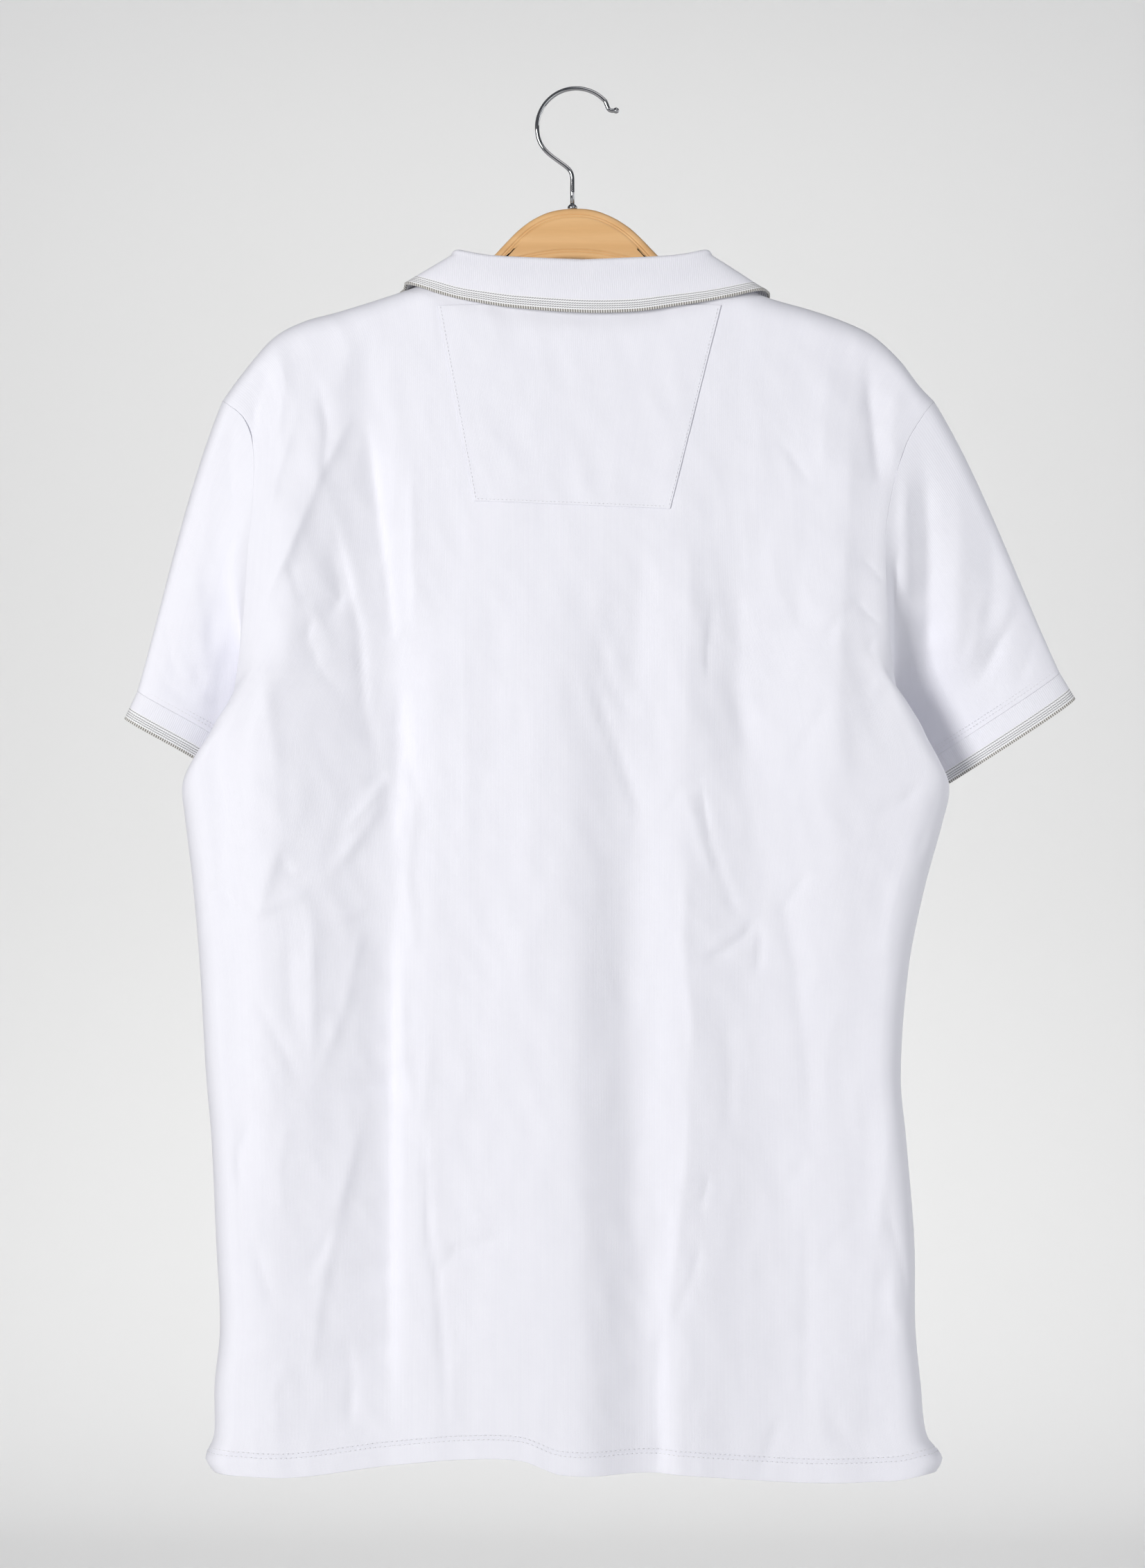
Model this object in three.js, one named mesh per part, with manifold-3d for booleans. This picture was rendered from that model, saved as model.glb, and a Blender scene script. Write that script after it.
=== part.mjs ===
import * as THREE from 'three';
import Module from 'manifold-3d';

// A knitted polo shirt hanging on a wooden hanger, its back towards -Y. Sizes are in millimetres.
// The origin is the inside top of the hook's bend, +Z is up, and +X is the wearer's right.

const wasm = await Module();
wasm.setup();

// Cloth
const JERSEY = 1.4; // wall of the body's fine knit
const RIB = 1.6; // wall of the collar's and cuffs' rib knit
const SEAM = 0.3; // space between two pieces that are sewn together

// Neck
const MIDDLE_X = 5; // the garment's centre line
const NECK_HALF_WIDTH = 82;
const NECK_POINT_Z = -119; // where the neckline crosses the top of the shoulder
const NECK = {
  back: { drop: 20, depth: 14, bend: 1.6 },
  front: { drop: 85, depth: 14, bend: 2 },
};
const NECK_SQUARENESS = 0.35; // under 1, the neck opening is squarer than an ellipse

// Body
const HEM_Z = -895; // at the side seams
const UNDERARM_Z = -432;
const SHOULDER_POINT_Z = -202;
const SIDE_ROUND = 16; // how far the rounded side reaches in from the side's outline
const SHOULDER_ROUND = 16; // how far the rounded shoulder reaches down
const DOME = 5; // how much further out the middle of a panel lies than its sides
const DOME_TOP_Z = -150; // the dome grows from here down
const DOME_GROWTH = 150;
const BODY_HALF_WIDTH = 235;
const LOWER_ROWS = 14;
const ARMHOLE_ROWS = 12;
const RIDGE_ROW_DROP = 1.2; // an extra row just under the shoulder seam
const SIDE_COLUMNS = 9;
const SIDE_CROWDING = 1.7; // draws the side columns towards the rounded side
const NECK_COLUMNS = { back: 14, front: 12 };

// The outline of the back, seen from behind: the side below the underarm, the armhole above it.
const OUTLINE = [
  { z: -896, left: -233.5, right: 235 },
  { z: -887, left: -239, right: 239 },
  { z: -873, left: -233.5, right: 229 },
  { z: -840, left: -233, right: 225 },
  { z: -803, left: -229.5, right: 221.5 },
  { z: -747, left: -232, right: 220.8 },
  { z: -681, left: -235, right: 215.5 },
  { z: -640, left: -238.5, right: 212 },
  { z: -572, left: -242.5, right: 217 },
  { z: -522, left: -247, right: 227.5 },
  { z: -480, left: -252.5, right: 240 },
  { z: -464, left: -254, right: 243.5 },
  { z: -452, left: -248, right: 238 },
  { z: -437, left: -237, right: 229 },
  { z: -415, left: -227, right: 219.5 },
  { z: -385, left: -219, right: 208 },
  { z: -339, left: -213, right: 202.5 },
  { z: -296, left: -210, right: 200.5 },
  { z: -265, left: -207, right: 204.5 },
  { z: -232, left: -207, right: 214 },
  { z: -213, left: -214, right: 225 },
  { z: -202, left: -228, right: 233.6 },
];

// How far round the rounded side each panel's edge lies, in degrees from the side's outline.
const EDGE_TURN = [
  { z: -896, back: 0, front: 0 },
  { z: -600, back: 0, front: 0 },
  { z: -520, back: -25, front: 25 },
  { z: -455, back: -60, front: 60 },
  { z: -432, back: -64, front: 64 },
  { z: -422, back: -42, front: 74 },
  { z: -408, back: -12, front: 80 },
  { z: -385, back: 26, front: 86 },
  { z: -339, back: 56, front: 89 },
  { z: -296, back: 68, front: 89 },
  { z: -232, back: 72, front: 84 },
  { z: -202, back: 72, front: 72 },
];

// How far each panel stands out from the garment's middle plane.
const DEPTHS = [
  { z: -896, back: 21, front: 18 },
  { z: -760, back: 23, front: 17 },
  { z: -600, back: 23, front: 15 },
  { z: -462, back: 21, front: 13 },
  { z: -300, back: 19, front: 13 },
  { z: -220, back: 17, front: 14 },
  { z: -150, back: 15, front: 15 },
  { z: -119, back: 15, front: 15 },
];

// The top of the shoulders, where back and front meet.
const SHOULDER_LINE = [
  { x: -228, z: -202 },
  { x: -215, z: -184 },
  { x: -195, z: -161 },
  { x: -176, z: -150.5 },
  { x: -153, z: -144 },
  { x: -121, z: -134 },
  { x: -77, z: -119 },
  { x: -50, z: -110 },
  { x: 60, z: -108 },
  { x: 87, z: -119 },
  { x: 127, z: -135 },
  { x: 153, z: -142.5 },
  { x: 176, z: -150.5 },
  { x: 194, z: -159.5 },
  { x: 211, z: -175 },
  { x: 224, z: -192 },
  { x: 233.6, z: -202 },
];

// The lower edge of each panel.
const HEM_LINE = [
  { x: -240, back: -895, front: -895 },
  { x: -228, back: -895, front: -895 },
  { x: -180, back: -896.4, front: -892 },
  { x: -120, back: -889.7, front: -890 },
  { x: -73, back: -885.4, front: -888 },
  { x: -34, back: -885.8, front: -888 },
  { x: -8, back: -894.6, front: -890 },
  { x: 52, back: -895, front: -892 },
  { x: 139, back: -900.7, front: -895 },
  { x: 205, back: -899, front: -896 },
  { x: 226, back: -895, front: -895 },
  { x: 240, back: -895, front: -895 },
];

// The long soft folds of each panel. A fold runs from its upper to its lower end, is as wide
// on each side as its row says, and stands out by its height, or lies in where that is negative.
const FOLDS = {
  back: [
    { upperX: -6, upperZ: -330, lowerX: 8, lowerZ: -940, leftWidth: 62, rightWidth: 60, height: 12 },
    { upperX: -150, upperZ: -205, lowerX: -178, lowerZ: -930, leftWidth: 50, rightWidth: 46, height: 9 },
    { upperX: -117, upperZ: -300, lowerX: -112, lowerZ: -930, leftWidth: 16, rightWidth: 14, height: -5 },
    { upperX: 68, upperZ: -420, lowerX: 60, lowerZ: -930, leftWidth: 30, rightWidth: 22, height: -5 },
    { upperX: 178, upperZ: -400, lowerX: 186, lowerZ: -930, leftWidth: 50, rightWidth: 30, height: 7 },
    { upperX: 128, upperZ: -560, lowerX: 122, lowerZ: -880, leftWidth: 28, rightWidth: 26, height: -3 },
  ],
  front: [
    { upperX: -120, upperZ: -330, lowerX: -132, lowerZ: -940, leftWidth: 58, rightWidth: 60, height: 9 },
    { upperX: -50, upperZ: -460, lowerX: -42, lowerZ: -930, leftWidth: 34, rightWidth: 34, height: -4 },
    { upperX: 96, upperZ: -360, lowerX: 110, lowerZ: -940, leftWidth: 62, rightWidth: 54, height: 10 },
  ],
};
const FOLD_FADE = 110; // length over which a fold grows from nothing
const FOLD_SIDE_FADE = 45; // folds die away this close to the side

// Back patch
const PATCH = { topZ: -141, lowerZ: -271, topLeft: -88, topRight: 95, lowerLeft: -64, lowerRight: 62 };
const PATCH_WALL = 1;

// Sleeves. A sleeve runs from the armhole to a flattened cuff that is turned behind the body.
const CUFF_LENGTH = 20;
const CUFF_HALF_WIDTH = 70;
const CUFF_HALF_DEPTH = 20;
const SLEEVE_ROWS = 9;
const SLEEVES = {
  left: {
    cornerX: -292.5, cornerY: 8, cornerZ: -408, along: [-0.27, 0, -0.963], across: [0.776, 0.456, -0.401],
  },
  right: {
    cornerX: 326.5, cornerY: 8, cornerZ: -395, along: [0.42, 0, -0.907], across: [-0.768, 0.42, -0.484],
  },
};
const SLEEVE_PULL = 0.3; // how much of its length a sleeve keeps its first direction
const CUFF_DROOP = { left: 40, right: 4 }; // how much lower the cuff's hidden inner end hangs
const CUFF_LEAN = 4; // how much lower the cuff's back half hangs than its middle, and its front half higher

// Collar
const STAND_INSET = 0.7; // space between the neckline's wall and the collar's stand
const STAND_TUCK = { side: -1, middle: 4 }; // how far the stand reaches down inside the neckline
const LEAF_MIDDLE_X = 7;
const LEAF_CLEAR = { back: RIB + 2.2, front: RIB + 0.7 }; // from a panel's face to the leaf's outer face
const LEAF_BULGE = 5; // how far the leaf rounds out over the shoulder
const FOLD_RADIUS = 3.2;
const LEAF_ROWS = 4;
const COLLAR_FRONT_COLUMNS = 10;
const COLLAR_GAP = 0.09; // share of the front neckline that the collar leaves open
const LEAF_EDGE_BACK = [
  { x: -110, z: -125.5 },
  { x: -96, z: -130.5 },
  { x: -80, z: -136 },
  { x: -64, z: -139.5 },
  { x: -40, z: -143.4 },
  { x: 5, z: -146.8 },
  { x: 40, z: -146 },
  { x: 64, z: -142.6 },
  { x: 88, z: -138.6 },
  { x: 104, z: -135 },
  { x: 124, z: -129.6 },
];
const LEAF_EDGE_BACK_DEPTH = 22.5;
const LEAF_EDGE_FRONT = [
  { way: 0, out: 117, y: 0, z: -128 },
  { way: 0.15, out: 121, y: 14.5, z: -132.5 },
  { way: 0.4, out: 111, y: 21, z: -163 },
  { way: 0.7, out: 78, y: 24, z: -208 },
  { way: 1, out: 36, y: 26, z: -252 },
];
const FOLD_LINE = [
  { turn: 0, z: -111.5 },
  { turn: 45, z: -108.5 },
  { turn: 75, z: -104.5 },
  { turn: 90, z: -105.5 },
  { turn: 120, z: -116 },
  { turn: 150, z: -154 },
  { turn: 180, z: -190 },
];

// Placket and buttons
const PLACKET_HALF_WIDTH = 17;
const SLIT_HALF_WIDTH = 14;
const PLACKET_TOP_Z = { placket_top: -206, placket_under: -211 };
const PLACKET_LOWER_Z = -362;
const PLACKET_WALL = 1;
const PLACKET_ROWS = 9;
const BUTTON = { radius: 5.75, wall: 2.2, rim: 1.1, dish: 0.5, holeRadius: 0.8, holeOffset: 1.5 };
const BUTTON_Z = [-222, -272, -322];

// Hanger
const WOOD_THICKNESS = 10;
const WOOD_EDGE = 3; // rounding of the wood's edges
const WOOD_CLEARANCE = 1.1; // between the wood and the cloth that lies on it
const WOOD_HEIGHT = 25;
const WOOD_LEFT = -207;
const WOOD_RIGHT = 212;
const WOOD_HUMP = [
  { x: -84, z: -128 },
  { x: -73, z: -125 },
  { x: -62, z: -117.6 },
  { x: -52, z: -107.6 },
  { x: -34, z: -89.4 },
  { x: -18, z: -80 },
  { x: -0.5, z: -77 },
  { x: 17, z: -79.2 },
  { x: 36, z: -89.4 },
  { x: 54.5, z: -107.6 },
  { x: 65, z: -117.6 },
  { x: 76, z: -125 },
  { x: 90, z: -129.4 },
];
const WOOD_ARCH_Z = -109.5; // underside at the middle

// Hook
const WIRE_RADIUS = 1.4;
const HOOK_BEND_RADIUS = 25.4;
const HOOK_STEM_X = -1;
const HOOK_FOOT_Z = -73.6;
const HOOK_TIP_RADIUS = 2;
const FERRULE = { radius: 3.2, height: 2.6 };

const SIDES = ['left', 'right'];
const BEHIND = new THREE.Vector3(0, 1, 0); // away from the camera side of the garment
const OUTWARD = { left: -1, right: 1 };
const FACING = { back: -1, front: 1 };

const clamp = (value, low, high) => Math.min(Math.max(value, low), high);
const smooth = (share) => {
  const t = clamp(share, 0, 1);
  return t * t * (3 - 2 * t);
};
const lerp = THREE.MathUtils.lerp;
const radians = THREE.MathUtils.degToRad;

// The value of one column of a table, on a smooth line through its rows.
function along(rows, key, column, at) {
  const last = rows.length - 1;
  const place = clamp(at, rows[0][key], rows[last][key]);
  let i = 0;
  while (i < last - 1 && place > rows[i + 1][key]) i += 1;
  const [before, from, to, after] = [i - 1, i, i + 1, i + 2].map((n) => rows[clamp(n, 0, last)]);
  const span = to[key] - from[key];
  const t = (place - from[key]) / span;
  const slope = (a, b) => ((b[column] - a[column]) / (b[key] - a[key])) * span;
  const start = slope(before, to);
  const end = slope(from, after);
  return (
    from[column] * (2 * t ** 3 - 3 * t ** 2 + 1) +
    to[column] * (3 * t ** 2 - 2 * t ** 3) +
    start * (t ** 3 - 2 * t ** 2 + t) +
    end * (t ** 3 - t ** 2)
  );
}

// A closed cloth wall on a grid of outer points. Its inner points lie straight behind them.
function wall(points, normals, thickness, { flip = false, ring = false, kept = () => true } = {}) {
  const rows = points.length;
  const columns = points[0].length;
  const vertices = [];
  const faces = [];
  points.flat().forEach((p) => vertices.push(p.x, p.y, p.z));
  points.forEach((row, r) =>
    row.forEach((p, c) => {
      const inner = p.clone().addScaledVector(normals[r][c], -thickness);
      vertices.push(inner.x, inner.y, inner.z);
    }),
  );
  const cells = ring ? columns : columns - 1;
  const outer = (r, c) => r * columns + (c % columns);
  const inner = (r, c) => outer(r, c) + rows * columns;
  const isKept = (r, c) =>
    r >= 0 && r < rows - 1 && (ring || (c >= 0 && c < cells)) && kept(r, (c + cells) % cells);
  const quad = (a, b, c, d) => (flip ? faces.push(a, c, b, a, d, c) : faces.push(a, b, c, a, c, d));
  for (let r = 0; r < rows - 1; r += 1) {
    for (let c = 0; c < cells; c += 1) {
      if (!isKept(r, c)) continue;
      quad(outer(r, c), outer(r, c + 1), outer(r + 1, c + 1), outer(r + 1, c));
      quad(inner(r, c), inner(r + 1, c), inner(r + 1, c + 1), inner(r, c + 1));
      if (!isKept(r - 1, c)) quad(outer(r, c + 1), outer(r, c), inner(r, c), inner(r, c + 1));
      if (!isKept(r + 1, c)) {
        quad(outer(r + 1, c), outer(r + 1, c + 1), inner(r + 1, c + 1), inner(r + 1, c));
      }
      if (!isKept(r, c - 1)) quad(outer(r, c), outer(r + 1, c), inner(r + 1, c), inner(r, c));
      if (!isKept(r, c + 1)) {
        quad(outer(r + 1, c + 1), outer(r, c + 1), inner(r, c + 1), inner(r + 1, c + 1));
      }
    }
  }
  const geometry = new THREE.BufferGeometry();
  geometry.setAttribute('position', new THREE.Float32BufferAttribute(vertices, 3));
  geometry.setIndex(faces);
  geometry.computeVertexNormals();
  return geometry;
}

// The outward directions of a grid, from each point's neighbours.
function gridNormals(points, { flip = false, ring = false } = {}) {
  const rows = points.length;
  const columns = points[0].length;
  const column = (c) => (ring ? (c + columns) % columns : clamp(c, 0, columns - 1));
  return points.map((row, r) =>
    row.map((_, c) => {
      const sideways = points[r][column(c + 1)].clone().sub(points[r][column(c - 1)]);
      const upwards = points[clamp(r + 1, 0, rows - 1)][c].clone().sub(points[clamp(r - 1, 0, rows - 1)][c]);
      return sideways.cross(upwards).multiplyScalar(flip ? -1 : 1).normalize();
    }),
  );
}

const neckShare = (x) => (x - MIDDLE_X) / NECK_HALF_WIDTH;
const neckRound = (x) => Math.sqrt(Math.max(0, 1 - neckShare(x) ** 2));

const neckDepth = (panel, round) => NECK[panel].depth * round ** NECK_SQUARENESS;

// The height of a panel's upper edge: the neckline, and the shoulder seam beside it.
function topZ(panel, x) {
  if (Math.abs(neckShare(x)) >= 1) return along(SHOULDER_LINE, 'x', 'z', x);
  const { drop, bend } = NECK[panel];
  return NECK_POINT_Z - drop * neckRound(x) ** bend;
}

// How far the long folds move a panel out at one place.
function foldHeight(panel, x, z) {
  return FOLDS[panel].reduce((sum, fold) => {
    const way = (fold.upperZ - z) / (fold.upperZ - fold.lowerZ);
    if (way <= 0 || way >= 1) return sum;
    const fromLine = x - lerp(fold.upperX, fold.lowerX, way);
    const share = Math.abs(fromLine) / (fromLine < 0 ? fold.leftWidth : fold.rightWidth);
    const ends = smooth((fold.upperZ - z) / FOLD_FADE) * smooth((z - fold.lowerZ) / FOLD_FADE + 0.4);
    return sum + fold.height * ends * smooth(1 - share);
  }, 0);
}

// How far a panel stands out from the middle plane, before its side is rounded.
function panelDepth(panel, x, z, fromSide) {
  const dome = DOME * (1 - ((x - MIDDLE_X) / BODY_HALF_WIDTH) ** 2) * smooth((DOME_TOP_Z - z) / DOME_GROWTH);
  const folds = foldHeight(panel, x, z) * smooth(fromSide / FOLD_SIDE_FADE);
  const full = along(DEPTHS, 'z', panel, z) + dome + folds;
  const below = Math.max(0, topZ(panel, x) - z);
  const shoulder = Math.sqrt(1 - (1 - Math.min(below / SHOULDER_ROUND, 1)) ** 2);
  const edge = neckDepth(panel, neckRound(x));
  return edge + (full - edge) * shoulder;
}

const edgeZ = (v) => lerp(HEM_Z, SHOULDER_POINT_Z, v);

// Where the side's outline would lie if the sleeve were not there.
function sideX(side, z) {
  const turn = radians(Math.max(0, along(EDGE_TURN, 'z', 'back', z)));
  return along(OUTLINE, 'z', side, z) + OUTWARD[side] * SIDE_ROUND * (1 - Math.cos(turn));
}

// A place across a panel, in its side column, as x, how far it is turned in and how far from the side.
function acrossSide(panel, side, share, v, nudge) {
  const z = edgeZ(v);
  const extreme = sideX(side, z);
  const depth = along(DEPTHS, 'z', panel, z);
  const quarter = (Math.PI / 2) * Math.sqrt((SIDE_ROUND ** 2 + depth ** 2) / 2);
  const start = along(EDGE_TURN, 'z', panel, z);
  const corner = (quarter * (90 - start)) / 90;
  const flatStart = extreme - OUTWARD[side] * SIDE_ROUND;
  const neckX = MIDDLE_X + OUTWARD[side] * NECK_HALF_WIDTH;
  const total = corner + Math.abs(neckX - flatStart);
  const distance = SEAM / 2 + share * (total - SEAM / 2) - OUTWARD[side] * nudge;
  if (distance >= corner) {
    const x = flatStart - OUTWARD[side] * (distance - corner);
    return { x, turn: 90, fromSide: Math.abs(x - extreme) };
  }
  const turn = start + (distance / quarter) * 90;
  const reach = SIDE_ROUND * (1 - Math.cos(radians(turn)));
  return { x: extreme - OUTWARD[side] * reach, turn, fromSide: reach };
}

function across(panel, column, v, nudge) {
  if (column.side) return acrossSide(panel, column.side, column.share, v, nudge);
  return { x: MIDDLE_X + NECK_HALF_WIDTH * column.share + nudge, turn: 90, fromSide: BODY_HALF_WIDTH };
}

// One outer point of a panel. v runs from the hem, 0, to the shoulder and neckline, 1.
function panelPoint(panel, column, v, nudge = 0) {
  const here = across(panel, column, v, nudge);
  const top = topZ(panel, across(panel, column, 1, nudge).x);
  const hem = along(HEM_LINE, 'x', panel, across(panel, column, 0, nudge).x);
  const z = lerp(hem, top, v);
  const turn = Math.sin(radians(here.turn));
  const face = turn < 0 ? (panel === 'back' ? 'front' : 'back') : panel;
  const out = panelDepth(face, here.x, z, here.fromSide) * turn;
  return new THREE.Vector3(here.x, FACING[panel] * (SEAM / 2 + out), z);
}

// A panel's outward direction. At the shoulder seam it stays in the seam's own plane.
function panelNormal(panel, column, v) {
  const step = 0.5;
  const rise = 0.002;
  const sideways = panelPoint(panel, column, v, step).sub(panelPoint(panel, column, v, -step));
  const onShoulder = v === 1 && (column.side || Math.abs(column.share) === 1);
  if (onShoulder) return new THREE.Vector3(-sideways.z, 0, sideways.x).normalize();
  const upwards = panelPoint(panel, column, Math.min(1, v + rise)).sub(
    panelPoint(panel, column, Math.max(0, v - rise)),
  );
  return sideways.cross(upwards).multiplyScalar(-FACING[panel]).normalize();
}

// Rows from the hem to the shoulder, closer at the underarm and under the shoulder seam.
const underarmV = (UNDERARM_Z - HEM_Z) / (SHOULDER_POINT_Z - HEM_Z);
const ridgeRowV = 1 - RIDGE_ROW_DROP / (SHOULDER_POINT_Z - HEM_Z);
const PANEL_ROWS = [];
for (let i = 0; i < LOWER_ROWS; i += 1) PANEL_ROWS.push((underarmV * i) / LOWER_ROWS);
for (let i = 0; i < ARMHOLE_ROWS; i += 1) {
  PANEL_ROWS.push(lerp(underarmV, 1, (1 - Math.cos((Math.PI * i) / ARMHOLE_ROWS)) / 2));
}
PANEL_ROWS.push(ridgeRowV, 1);
const UNDERARM_ROW = LOWER_ROWS;
const SHOULDER_ROW = PANEL_ROWS.length - 1;

// Columns from the left side to the right, with one at each neck point.
function panelColumns(panel) {
  const columns = [];
  for (let i = 0; i < SIDE_COLUMNS; i += 1) {
    columns.push({ side: 'left', share: (i / SIDE_COLUMNS) ** SIDE_CROWDING });
  }
  const count = NECK_COLUMNS[panel];
  for (let i = 0; i <= count; i += 1) {
    const t = (2 * i) / count - 1;
    columns.push({ share: Math.sin((Math.PI / 2) * t) });
  }
  for (let i = SIDE_COLUMNS - 1; i >= 0; i -= 1) {
    columns.push({ side: 'right', share: (i / SIDE_COLUMNS) ** SIDE_CROWDING });
  }
  return columns;
}

function panelGrid(panel) {
  const columns = panelColumns(panel);
  return {
    points: PANEL_ROWS.map((v) => columns.map((column) => panelPoint(panel, column, v))),
    normals: PANEL_ROWS.map((v) => columns.map((column) => panelNormal(panel, column, v))),
  };
}

const grids = { back: panelGrid('back'), front: panelGrid('front') };

const group = new THREE.Group();

function material(color, roughness, metalness = 0) {
  return new THREE.MeshStandardMaterial({ color, roughness, metalness });
}

function add(name, geometry, finish) {
  const mesh = new THREE.Mesh(geometry, finish);
  mesh.name = name;
  group.add(mesh);
  return mesh;
}

const jersey = () => material(0xeeeff6, 0.85);
const rib = () => material(0xf0f0f5, 0.9);

// Back panel
add('back', wall(grids.back.points, grids.back.normals, JERSEY), jersey());

// Front panel, with the slit that the placket closes.
const isSlit = (row, column) => {
  const corners = [grids.front.points[row][column], grids.front.points[row][column + 1]];
  const inWidth = corners.every((p) => Math.abs(p.x - MIDDLE_X) < SLIT_HALF_WIDTH);
  return inWidth && grids.front.points[row][column].z > PLACKET_LOWER_Z;
};
const frontKept = (row, column) => !isSlit(row, column);
add('front', wall(grids.front.points, grids.front.normals, JERSEY, { flip: true, kept: frontKept }), jersey());

// A piece that lies on a panel's middle, made from the panel's own points moved out.
function onPanel(panel, rows, columns, placeX, placeZ, out, thickness) {
  const points = [];
  const normals = [];
  for (let r = 0; r <= rows; r += 1) {
    const z = placeZ(r / rows);
    const places = [];
    const directions = [];
    for (let c = 0; c <= columns; c += 1) {
      const x = placeX(c / columns, r / rows);
      const column = { share: neckShare(x) };
      const hem = along(HEM_LINE, 'x', panel, x);
      const v = (z - hem) / (topZ(panel, x) - hem);
      const normal = panelNormal(panel, column, Math.min(v, 1));
      places.push(panelPoint(panel, column, v).addScaledVector(normal, out));
      directions.push(normal);
    }
    points.push(places);
    normals.push(directions);
  }
  return wall(points, normals, thickness, { flip: panel === 'front' });
}

// Back patch, a trapezoid under the collar.
add(
  'back_patch',
  onPanel(
    'back',
    7,
    12,
    (share, way) =>
      lerp(lerp(PATCH.lowerLeft, PATCH.topLeft, way), lerp(PATCH.lowerRight, PATCH.topRight, way), share),
    (way) => lerp(PATCH.lowerZ, PATCH.topZ, way),
    SEAM + PATCH_WALL,
    PATCH_WALL,
  ),
  jersey(),
);

// Placket: one strip over the slit and one under it.
const placketX = (share) => MIDDLE_X + lerp(-PLACKET_HALF_WIDTH, PLACKET_HALF_WIDTH, share);
const placketOut = { placket_top: 2 * SEAM + PLACKET_WALL, placket_under: -(JERSEY + SEAM) };
for (const [name, out] of Object.entries(placketOut)) {
  const placketZ = (way) => lerp(PLACKET_LOWER_Z - SLIT_HALF_WIDTH, PLACKET_TOP_Z[name], way);
  add(name, onPanel('front', PLACKET_ROWS, 4, placketX, placketZ, out, PLACKET_WALL), jersey());
}

// Sleeves and cuffs
function armholeLoop(side) {
  const lastColumn = { back: grids.back.points[0].length - 1, front: grids.front.points[0].length - 1 };
  const edge = (panel, row) => {
    const { points, normals } = grids[panel];
    const c = side === 'left' ? 0 : lastColumn[panel];
    const next = side === 'left' ? 1 : c - 1;
    const away = points[row][c].clone().sub(points[row][next]).normalize();
    return { point: points[row][c].clone(), normal: normals[row][c].clone(), away };
  };
  const meeting = (row, shift) => {
    const [a, b] = [edge('back', row), edge('front', row)];
    return {
      point: a.point.add(b.point).multiplyScalar(0.5).add(shift),
      normal: a.normal.add(b.normal).normalize(),
      away: a.away.add(b.away).normalize(),
    };
  };
  const seam = (panel, row) => {
    const place = edge(panel, row);
    place.point.addScaledVector(place.away, 2 * SEAM);
    return place;
  };
  const shoulder = meeting(SHOULDER_ROW, new THREE.Vector3(OUTWARD[side] * 2 * SEAM, 0, -2 * SEAM));
  const underarm = meeting(UNDERARM_ROW, new THREE.Vector3(0, SEAM, 4 * SEAM));
  const rows = [];
  for (let r = SHOULDER_ROW - 1; r > UNDERARM_ROW; r -= 1) rows.push(r);
  const downBack = rows.map((r) => seam('back', r));
  const upFront = rows.toReversed().map((r) => seam('front', r));
  const loop = [shoulder, ...downBack, underarm, ...upFront];
  return loop.map(({ point, normal, away }, i) => {
    const before = loop[(i + loop.length - 1) % loop.length].point;
    const seamway = loop[(i + 1) % loop.length].point.clone().sub(before);
    const square = new THREE.Vector3().crossVectors(seamway, normal).normalize();
    return { point, normal, away: square.dot(away) < 0 ? square.negate() : square };
  });
}

// How far round its loop each armhole point lies, 0 at the shoulder and half a turn at the underarm.
function loopTurns(loop) {
  const half = loop.length / 2;
  const lengths = [0];
  for (let i = 1; i <= loop.length; i += 1) {
    lengths.push(lengths[i - 1] + loop[i % loop.length].point.distanceTo(loop[i - 1].point));
  }
  return loop.map((_, i) => {
    if (i <= half) return (Math.PI * lengths[i]) / lengths[half];
    return Math.PI + (Math.PI * (lengths[i] - lengths[half])) / (lengths[loop.length] - lengths[half]);
  });
}

function sleeveShape(side) {
  const sleeve = SLEEVES[side];
  const acrossCuff = new THREE.Vector3(...sleeve.across).normalize();
  const fall = new THREE.Vector3(...sleeve.along).normalize();
  const towardsBack = new THREE.Vector3().crossVectors(fall, acrossCuff).normalize();
  if (towardsBack.y > 0) towardsBack.negate();
  const axis = new THREE.Vector3().crossVectors(acrossCuff, towardsBack).normalize();
  if (axis.z > 0) axis.negate();
  const corner = new THREE.Vector3(sleeve.cornerX, sleeve.cornerY, sleeve.cornerZ);
  const centre = corner.clone().addScaledVector(acrossCuff, CUFF_HALF_WIDTH);
  const ring = (turn, up) =>
    centre
      .clone()
      .addScaledVector(acrossCuff, -Math.cos(turn) * CUFF_HALF_WIDTH)
      .addScaledVector(towardsBack, Math.sin(turn) * CUFF_HALF_DEPTH)
      .addScaledVector(axis, CUFF_DROOP[side] * Math.sin(turn / 2) ** 4 + CUFF_LEAN * Math.sin(turn) - up);
  return { along: fall, axis, ring };
}

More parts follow.
